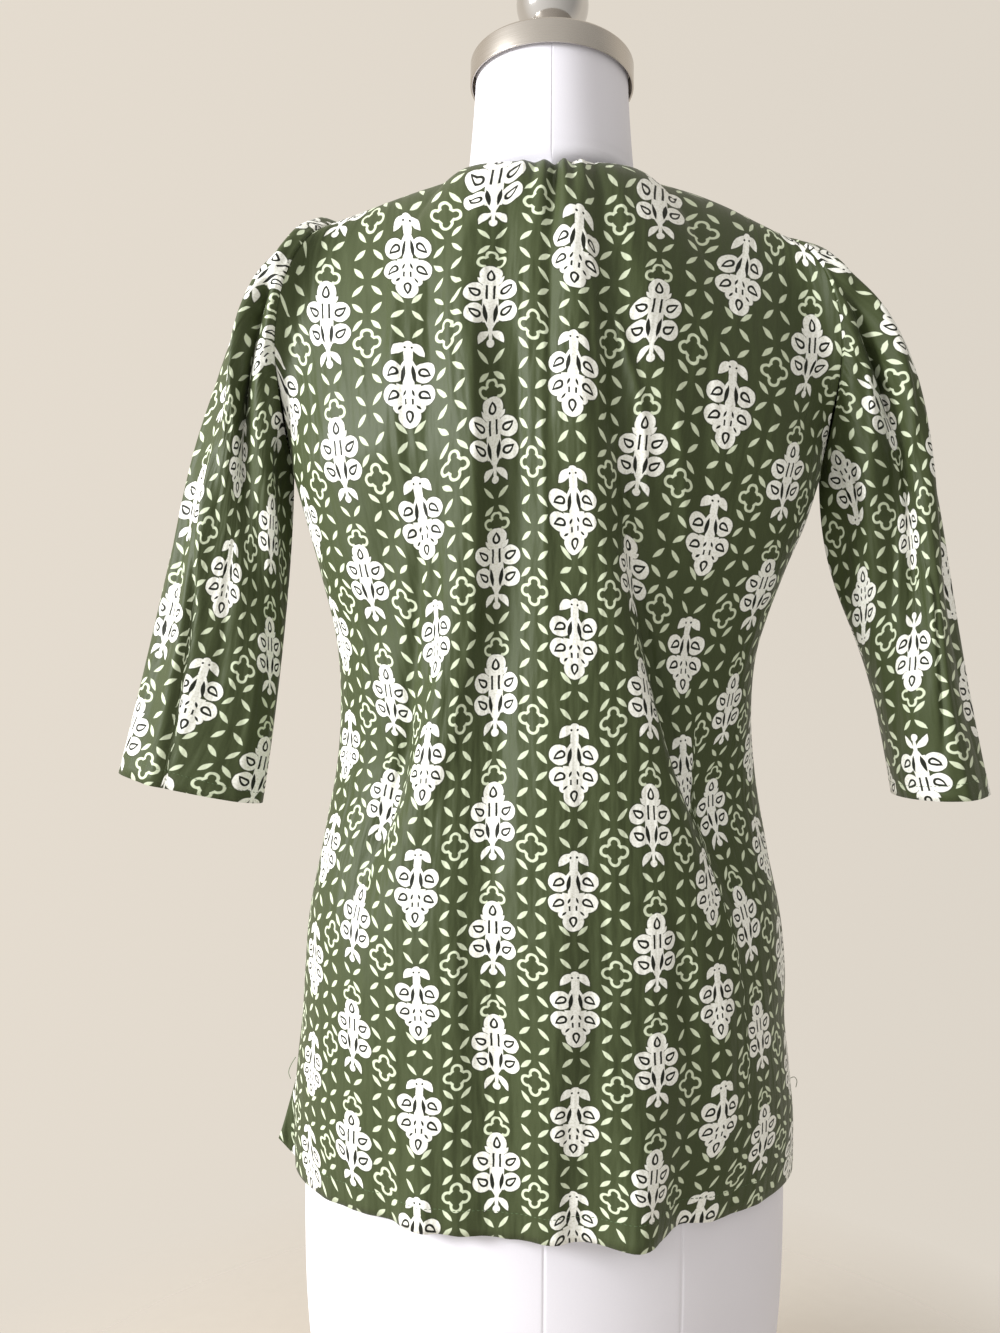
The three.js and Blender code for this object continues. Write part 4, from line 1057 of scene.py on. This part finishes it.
def noise(tree, vector, scale, detail=2.0):
    """A noise with one scale, or with a scale of its own along each axis."""
    if isinstance(scale, tuple):
        stretch = tree.nodes.new("ShaderNodeMapping")
        stretch.inputs["Scale"].default_value = scale
        tree.links.new(vector, stretch.inputs["Vector"])
        vector = stretch.outputs[0]
        scale = 1
    node = tree.nodes.new("ShaderNodeTexNoise")
    node.inputs["Scale"].default_value = scale
    node.inputs["Detail"].default_value = detail
    tree.links.new(vector, node.inputs["Vector"])
    return Value(tree, node.outputs["Fac"])


def add_bump(tree, height, strength, distance, finer=None):
    """The normal of a relief. finer is the normal of a finer relief that lies on it."""
    node = tree.nodes.new("ShaderNodeBump")
    node.inputs["Strength"].default_value = strength
    node.inputs["Distance"].default_value = distance
    tree.links.new(height.socket, node.inputs["Height"])
    if finer is not None:
        tree.links.new(finer, node.inputs["Normal"])
    return node.outputs[0]


def mix_colour(tree, share, first, second):
    """A colour between two, which are colours or other mixes."""
    node = tree.nodes.new("ShaderNodeMix")
    node.data_type = "RGBA"
    tree.links.new(share.socket, node.inputs["Factor"])
    for socket, colour in ((node.inputs["A"], first), (node.inputs["B"], second)):
        if isinstance(colour, tuple):
            socket.default_value = (*colour, 1)
        else:
            tree.links.new(colour, socket)
    return node.outputs["Result"]


def linear(*srgb):
    return tuple(c / 12.92 if c <= 0.04045 else ((c + 0.055) / 1.055) ** 2.4 for c in srgb)


def cloth_material():
    """The printed cloth: woven ground, plants, leaves, dark lines and small wrinkles."""
    material, tree, shader = principled("printed_cloth")
    print_map = tree.nodes.new("ShaderNodeUVMap")
    print_map.uv_map = "Print"
    uv = print_map.outputs["UV"]
    wobble = tree.nodes.new("ShaderNodeTexNoise")
    wobble.inputs["Scale"].default_value = 22
    tree.links.new(uv, wobble.inputs["Vector"])
    apart = tree.nodes.new("ShaderNodeSeparateXYZ")
    tree.links.new(uv, apart.inputs[0])
    shake = tree.nodes.new("ShaderNodeSeparateColor")
    tree.links.new(wobble.outputs["Color"], shake.inputs[0])
    u = Value(tree, apart.outputs[0]) * UV_UNIT + (Value(tree, shake.outputs[0]) - 0.5) * 0.9
    v = Value(tree, apart.outputs[1]) * UV_UNIT + (Value(tree, shake.outputs[1]) - 0.5) * 0.9
    white, pale, dark, halo = print_shapes(tree, u, v)
    grain = noise(tree, uv, 130, 3)
    cloud = noise(tree, uv, 7, 3)
    slub = (noise(tree, uv, (800, 45, 1)) + noise(tree, uv, (50, 700, 1))) * 0.5
    wrinkle = noise(tree, uv, (14, 2.6, 1), 1.5)
    worn = (noise(tree, uv, 70, 3) - 0.45).max(0).min(0.3) * 2.2
    ground = mix_colour(tree, grain, linear(0.24, 0.27, 0.16), linear(0.285, 0.32, 0.20))
    ground = mix_colour(tree, cloud * 0.5, ground, linear(0.21, 0.245, 0.135))
    ground = mix_colour(tree, (slub - 0.45).max(0) * 0.8, ground, linear(0.36, 0.41, 0.26))
    edged = mix_colour(tree, halo * 0.55, ground, linear(0.11, 0.13, 0.075))
    leaf = mix_colour(tree, pale, edged, linear(0.83, 0.865, 0.755))
    paper = mix_colour(tree, worn, linear(0.975, 0.975, 0.95), linear(0.80, 0.80, 0.72))
    plant = mix_colour(tree, white, leaf, paper)
    weave = add_bump(tree, slub + grain * 0.5, 0.25, 0.0004)
    set_inputs(tree, shader, {
        "Base Color": mix_colour(tree, dark, plant, linear(0.10, 0.115, 0.08)),
        "Roughness": (white + pale).min(1) * 0.1 + 0.5,
        "Sheen Weight": 0.06,
        "Sheen Roughness": 0.35,
        "Specular IOR Level": 0.24,
        "Normal": add_bump(tree, wrinkle, 0.48, 0.004, weave),
    })
    return material


def cover_material():
    """The stretched white cover of the form."""
    material, tree, shader = principled("form_cover")
    place = object_place(tree)
    weave = noise(tree, place, 1400, 2)
    cloud = noise(tree, place, 9, 3)
    base = mix_colour(tree, cloud, linear(0.905, 0.895, 0.93), linear(0.945, 0.94, 0.965))
    set_inputs(tree, shader, {
        "Base Color": mix_colour(tree, weave * 0.25, base, linear(0.84, 0.83, 0.88)),
        "Roughness": 0.8,
        "Sheen Weight": 0.15,
        "Normal": add_bump(tree, weave, 0.2, 0.0003),
    })
    return material


def metal_material(name, colour, dark, roughness, scale):
    """A metal with fine marks: scale stretches them round or along the piece."""
    material, tree, shader = principled(name)
    place = object_place(tree)
    marks = noise(tree, place, scale, 3)
    cloud = noise(tree, place, 40, 2)
    set_inputs(tree, shader, {
        "Base Color": mix_colour(tree, cloud * 0.5, linear(*colour), linear(*dark)),
        "Roughness": marks * 0.12 + (roughness - 0.06),
        "Metallic": 1,
        "Normal": add_bump(tree, marks, 0.06, 0.0001),
    })
    return material


def plain_material(name, scale, first, second, roughness):
    """A plain matte material whose colour varies a little."""
    material, tree, shader = principled(name)
    fleck = noise(tree, object_place(tree), scale, 2)
    colour = mix_colour(tree, fleck, linear(*first), linear(*second))
    set_inputs(tree, shader, {"Base Color": colour, "Roughness": roughness})
    return material, tree, shader


def floor_material():
    """A plain pale floor that thins out with the distance from its middle."""
    pale = ((0.80, 0.765, 0.72), (0.82, 0.785, 0.74))
    material, tree, shader = plain_material("floor", 60, *pale, 0.8)
    away = Place(tree, object_place(tree)).disc(0, 0, 0.3)
    set_inputs(tree, shader, {"Alpha": (away * -3 + 1).max(0).min(1)})
    return material


def turned(name, profile, material, segments=128):
    """A turned piece about the Z axis from its (radius, z) profile."""
    profile = np.array(profile, float)
    angles = 2 * math.pi * np.arange(segments) / segments
    ring = np.stack((np.cos(angles), np.sin(angles)), -1)
    heights = np.broadcast_to(profile[:, None, 1:], (len(profile), segments, 1))
    points = np.concatenate((profile[:, None, :1] * ring[None], heights), -1).reshape(-1, 3)
    faces = grid_faces(len(profile), segments, True).tolist()
    made = add_mesh(name, points, faces, material)
    mesh = made.data
    work = bmesh.new()
    work.from_mesh(mesh)
    bmesh.ops.remove_doubles(work, verts=work.verts, dist=0.00001)
    bmesh.ops.recalc_face_normals(work, faces=work.faces)
    work.to_mesh(mesh)
    work.free()
    return made


def rounded(profile, radius, steps=4):
    """A profile with its inner corners cut round."""
    points = [np.array(p, float) for p in profile]
    made = [points[0]]
    for before, corner, after in zip(points, points[1:], points[2:]):
        first = before - corner
        second = after - corner
        reach = min(radius, np.linalg.norm(first) * 0.45, np.linalg.norm(second) * 0.45)
        start = corner + first / max(np.linalg.norm(first), 1e-9) * reach
        end = corner + second / max(np.linalg.norm(second), 1e-9) * reach
        for k in range(steps + 1):
            t = k / steps
            made.append((1 - t) ** 2 * start + 2 * t * (1 - t) * corner + t**2 * end)
    made.append(points[-1])
    return made


def wrapped(angle):
    """An angle brought between -pi and pi."""
    return (angle + math.pi) % (2 * math.pi) - math.pi


# The cover's seams, as angles round the form from the middle of its back. Only the first
# runs on up the neck. Each has its own close columns of points.
COVER_SEAMS = (0.0, 0.553, -0.553, math.pi, math.pi - 0.6, math.pi + 0.6)
SEAM_STEPS = (-0.02, -0.013, -0.008, -0.004, 0, 0.004, 0.008, 0.013, 0.02)
COVER_ROWS = ((105, 135, 14), (135, 1000, 96), (1000, 1109.4, 44))
NECK_SEAM_Z = 1030


def form_grid():
    """The form's cover, with its seams sunk into it."""
    angles = list(np.linspace(-math.pi, math.pi, 145)[:-1])
    for seam in COVER_SEAMS:
        angles += [wrapped(seam) + step for step in SEAM_STEPS]
    angles = np.array(sorted({round(wrapped(angle), 5) for angle in angles}))
    z = np.unique(np.concatenate([np.linspace(*span) for span in COVER_ROWS]))
    across, along = superellipse(angles[None, :], read(FORM_SECTIONS, "square", z)[:, None])
    half, back, front = (read(FORM_SECTIONS, key, z)[:, None] for key in ("half", "back", "front"))
    x = half * across
    y = np.where(along > 0, back * along, -front * along)
    up_neck = np.clip((z - NECK_SLOPE_Z) / (CAP["z"] - NECK_SLOPE_Z), 0, 1)[:, None]
    slope = up_neck * math.tan(math.radians(CAP["tilt"]))
    grid = np.stack((x, y, z[:, None] - y * slope), -1)
    normals = grid_normals(grid, True)
    depth = np.zeros(grid.shape[:2])
    for k, seam in enumerate(COVER_SEAMS):
        groove = np.exp(-((wrapped(angles - seam) / 0.005) ** 2))[None, :]
        fade = 1 if k == 0 else 1 - smooth(900, 950, z)[:, None]
        depth += 0.5 * groove * fade
    neck_seam = NECK_SEAM_Z + 0.02 * (grid[..., 1] + 57)
    depth += 0.35 * np.exp(-(((grid[..., 2] - neck_seam) / 1.3) ** 2))
    return grid - normals * depth[..., None]


def add_rod(points, faces, line, radii, sides, hint):
    """Adds a closed round rod along a line of points, with a radius at each of them."""
    base = len(points)
    for k, (middle, radius) in enumerate(zip(line, radii)):
        way = line[min(k + 1, len(line) - 1)] - line[max(k - 1, 0)]
        way = way / np.linalg.norm(way)
        aside = np.cross(way, hint)
        aside /= np.linalg.norm(aside)
        over = np.cross(way, aside)
        for angle in 2 * math.pi * np.arange(sides) / sides:
            points.append(middle + radius * (math.cos(angle) * aside + math.sin(angle) * over))
    faces += grid_faces(len(line), sides, True, base).tolist()
    faces.append([base + k for k in reversed(range(sides))])
    faces.append([base + (len(line) - 1) * sides + k for k in range(sides)])


def add_stitches(name, paths, material, length=2.1, gap=1.1, radius=0.22):
    """Short stitches laid along paths of points that lie on the cloth."""
    points = []
    faces = []
    radii = [radius * size for size in (0.35, 1, 1, 0.35)]
    for path in paths:
        steps = np.concatenate(([0], np.cumsum(np.linalg.norm(np.diff(path, axis=0), axis=-1))))
        for start in np.arange(0.5, steps[-1] - length, length + gap):
            span = (start, start + length)
            first, last = np.stack([np.interp(span, steps, path[:, c]) for c in range(3)], -1)
            line = [lerp(first, last, t) for t in (0, 0.25, 0.75, 1)]
            add_rod(points, faces, line, radii, 5, (0.3, 0.2, 0.93))
    return add_mesh(name, points, faces, material)


def add_tails(name, tails, material, radius=0.25, rings=24):
    """Loose ends of thread, each a smooth line through a few points."""
    points = []
    faces = []
    for tail in tails:
        path = np.array(tail, float)
        keys = np.linspace(0, 1, len(path))
        fine = np.linspace(0, 1, rings)
        line = np.stack([read({"k": keys, "v": path[:, c]}, "v", fine) for c in range(3)], -1)
        add_rod(points, faces, line, [radius] * rings, 6, (0.1, 0.98, 0.2))
    return add_mesh(name, points, faces, material)


# Materials
CLOTH_FINISH = cloth_material()
COVER_FINISH = cover_material()
THREAD_FINISH = plain_material("sewing_thread", 2500, (0.26, 0.34, 0.21), (0.38, 0.46, 0.31), 0.6)[0]
CAP_FINISH = metal_material(
    "cap_metal", (0.80, 0.775, 0.745), (0.70, 0.675, 0.645), 0.26, (30, 30, 2600)
)
FINIAL_FINISH = metal_material(
    "finial_metal", (0.84, 0.83, 0.82), (0.78, 0.77, 0.76), 0.1, (60, 60, 400)
)
STAND_FINISH = metal_material(
    "stand_metal", (0.78, 0.78, 0.78), (0.70, 0.70, 0.71), 0.32, (500, 500, 60)
)

# The form
form_points = form_grid()
rings, spokes = form_points.shape[:2]
form_faces = grid_faces(rings, spokes, True).tolist()
form_tree = BVHTree.FromPolygons((form_points.reshape(-1, 3) * MM).tolist(), form_faces)
form_faces.append(list(range(spokes))[::-1])
form_faces.append([(rings - 1) * spokes + k for k in range(spokes)])
form_cover = add_mesh("form_cover", form_points.reshape(-1, 3), form_faces, COVER_FINISH)

# The cloth
BACK_SIZES = {
    "face": -1,
    "columns": 300,
    "lower_rows": 92,
    "upper_rows": 58,
    "folds": BACK_FOLDS,
    "creases": BACK_CREASES,
    "guides": [(LEFT_GUIDE, LEFT_FLANK), (RIGHT_GUIDE, RIGHT_FLANK)],
    "crowd": [(LEFT_GUIDE, 0.9, 0.1), (RIGHT_GUIDE, 2.0, 0.07)],
}
FRONT_SIZES = {
    "face": 1,
    "columns": 120,
    "lower_rows": 100,
    "upper_rows": 64,
    "folds": FRONT_FOLDS,
    "creases": FRONT_CREASES,
    "guides": [],
    "crowd": [],
}
cloths = {}
stitch_paths = []
for name, sizes in (("back", BACK_SIZES), ("front", FRONT_SIZES)):
    grid, shares = panel_grid(**sizes)
    outward = -sizes["face"]
    grid = keep_off(grid, form_tree)
    normals = grid_normals(grid, False)
    across = path_lengths(grid, 1)
    middle_column = nearest(grid[0, :, 0], 0)
    across = across - across[:, [middle_column]]
    up = path_lengths(grid, 0)
    if name == "back":
        valleys = [across[:, [nearest(shares, guide)]] + past for guide, past in BACK_VALLEYS]
        uv = print_places(grid, normals, outward, across, up, BACK_PRINT, valleys)
    else:
        uv = np.stack((across + FRONT_PRINT_SHIFT, -up), -1) / UV_UNIT
    cloths[name] = shell(f"{name}_cloth", grid, normals, False, outward, CLOTH_FINISH, uv)
    hem_row = nearest(up[:, middle_column], HEM_DEPTH)
    stitch_paths.append((grid + normals * outward * THREAD_LIFT)[hem_row, 3:-3])
for name in ("left", "right"):
    grid, degrees = sleeve_grid(name, SLEEVE_POINTS, SLEEVE_RINGS)
    side = SLEEVES[name]["side"]
    normals = grid_normals(grid, True)
    smooth_grid = sleeve_grid(name, SLEEVE_POINTS, SLEEVE_RINGS, creased=False)[0]
    around = np.linalg.norm(np.roll(smooth_grid, -1, 1) - smooth_grid, axis=-1)
    across = np.cumsum(around, axis=1) - around
    reference = nearest(degrees, SLEEVE_MIDDLE)
    across = (across - across[:, [reference]]) * side
    up = path_lengths(smooth_grid[::-1], 0)[::-1]
    if name == "left":
        valley = across[:, [nearest(degrees, CUFF_VALLEY["degrees"])]]
        hidden = CUFF_VALLEY["hidden"] * (1 - smooth(CUFF_VALLEY["full"], CUFF_VALLEY["gone"], up))
        across = across - hidden * (1 - smooth(-STEP_HALF, STEP_HALF, across - valley))
    uv = even_places(grid, normals, -side, across, up, SLEEVE_PRINTS[name], -side)
    cloths[name] = shell(f"{name}_sleeve_cloth", grid, normals, True, -side, CLOTH_FINISH, uv)
    hem_ring = nearest(up[:, reference], HEM_DEPTH)
    ring_path = (grid - normals * side * THREAD_LIFT)[hem_ring]
    stitch_paths.append(np.concatenate((ring_path, ring_path[:1])))
hem_stitches = add_stitches("hem_stitches", stitch_paths, THREAD_FINISH)
tails = add_tails(
    "thread_tails",
    [
        [(-187, -3, 366), (-190, -5, 361), (-192, -4, 355), (-190.5, -4, 350)],
        [(183, -2, 352), (186.5, -4, 354), (188.5, -4, 351), (188, -3, 346)],
    ],
    THREAD_FINISH,
)

# The cap and finial
inner = CAP["radius"] - CAP["wall"]
cap_profile = rounded(
    [
        (0, CAP["rim"] - CAP["top"]),
        (inner, CAP["rim"] - CAP["top"]),
        (inner, 0),
        (CAP["radius"], 0),
        (CAP["radius"], CAP["rim"] - 2),
        (CAP["radius"] - 2, CAP["rim"]),
        (FINIAL["foot"] + 3, CAP["rim"] + CAP["crown"]),
        (0, CAP["rim"] + CAP["crown"]),
    ],
    0.7,
)
neck_cap = turned("cap_shell", cap_profile, CAP_FINISH)
ball_centre = FINIAL["height"] - FINIAL["ball"]
finial_profile = rounded([(0, 0), (FINIAL["foot"], 0), (FINIAL["foot"], 3), (FINIAL["waist"], 6)], 0.8)
start_angle = math.asin(FINIAL["waist"] / FINIAL["ball"])
for angle in np.linspace(math.pi - start_angle, 0, 40):
    out = abs(FINIAL["ball"] * math.sin(angle))
    finial_profile.append((out, ball_centre + FINIAL["ball"] * math.cos(angle)))
finial_profile[-1] = (0, FINIAL["height"])
finial = turned("finial_ball", finial_profile, FINIAL_FINISH, 96)
tilt = Quaternion((1, 0, 0), -math.radians(CAP["tilt"]))
for piece, lift in ((neck_cap, 0), (finial, CAP["rim"] + CAP["crown"] + SEAT_GAP)):
    for vertex in piece.data.vertices:
        local = vertex.co + Vector((0, 0, lift * MM))
        vertex.co = tilt @ local + Vector((0, 0, CAP["z"] * MM))

for node in ("form_flange", "pole", "pole_collar", "base_plate"):
    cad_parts[node].data.materials.clear()
    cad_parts[node].data.materials.append(STAND_FINISH)

REPLACED = {
    "back_panel": (cloths["back"], "printed_cloth"),
    "front_panel": (cloths["front"], "printed_cloth"),
    "left_sleeve": (cloths["left"], "printed_cloth"),
    "right_sleeve": (cloths["right"], "printed_cloth"),
    "form_body": (form_cover, "form_cover"),
    "neck_cap": (neck_cap, "cap_metal"),
    "finial": (finial, "finial_metal"),
}
for node, (piece, slot) in REPLACED.items():
    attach(piece, "root")
    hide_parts(node)
for piece in (hem_stitches, tails):
    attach(piece, "root")

# Floor, light and camera
FLOOR_RADIUS = 1500
FLOOR_CORNERS = 64
turns = 2 * math.pi * np.arange(FLOOR_CORNERS) / FLOOR_CORNERS
floor_points = FLOOR_RADIUS * np.stack((np.cos(turns), np.sin(turns), np.zeros(FLOOR_CORNERS)), -1)
floor = add_mesh("floor", floor_points, [list(range(FLOOR_CORNERS))], floor_material())

scene = bpy.context.scene
scene.view_settings.view_transform = "Standard"
world = bpy.data.worlds.new("studio")
scene.world = world
world.use_nodes = True
world_tree = world.node_tree
world_place = world_tree.nodes.new("ShaderNodeTexCoord")
world_apart = world_tree.nodes.new("ShaderNodeSeparateXYZ")
world_tree.links.new(world_place.outputs["Generated"], world_apart.inputs[0])


def world_share(axis, slope):
    """A share from 0 to 1 that grows along an axis of the room."""
    return (Value(world_tree, world_apart.outputs[axis]) * slope + 0.5).max(0).min(1)


wall = mix_colour(
    world_tree, world_share(0, 0.9), linear(0.90, 0.865, 0.815), linear(0.86, 0.83, 0.785)
)
lit_side = mix_colour(world_tree, world_share(0, -0.5), (0.39, 0.375, 0.35), (1.10, 1.07, 1.02))
room = mix_colour(world_tree, world_share(1, 1.6), lit_side, wall)
world_tree.links.new(room, world_tree.nodes["Background"].inputs["Color"])
world_tree.nodes["Background"].inputs["Strength"].default_value = 1.0


def add_light(name, at, size, energy, colour, target=(0, 0, 0.7)):
    light = bpy.data.lights.new(name, "AREA")
    light.size = size
    light.energy = energy
    light.color = colour
    made = bpy.data.objects.new(name, light)
    made.location = at
    made.rotation_euler = (Vector(target) - Vector(at)).to_track_quat("-Z", "Y").to_euler()
    scene.collection.objects.link(made)


add_light("window", (-2.3, -1.1, 1.4), 0.8, 92, (0.98, 0.99, 1.0))

camera_data = bpy.data.cameras.new("camera")
camera_data.sensor_fit = "VERTICAL"
camera_data.sensor_height = 36
camera_data.lens = FOCAL_PIXELS / PICTURE[1] * 36
camera_data.shift_x = (PICTURE[0] / 2 - AXIS_PIXELS[0]) / PICTURE[1]
camera_data.clip_end = 50
camera = bpy.data.objects.new("camera", camera_data)
camera.location = Vector(CAMERA_AT) * MM
camera.rotation_mode = "QUATERNION"
upright = Quaternion((1, 0, 0), math.pi / 2)
camera.rotation_quaternion = upright @ Quaternion((0, 0, 1), ROLL)
scene.collection.objects.link(camera)
scene.camera = camera


bpy.context.view_layer.update()
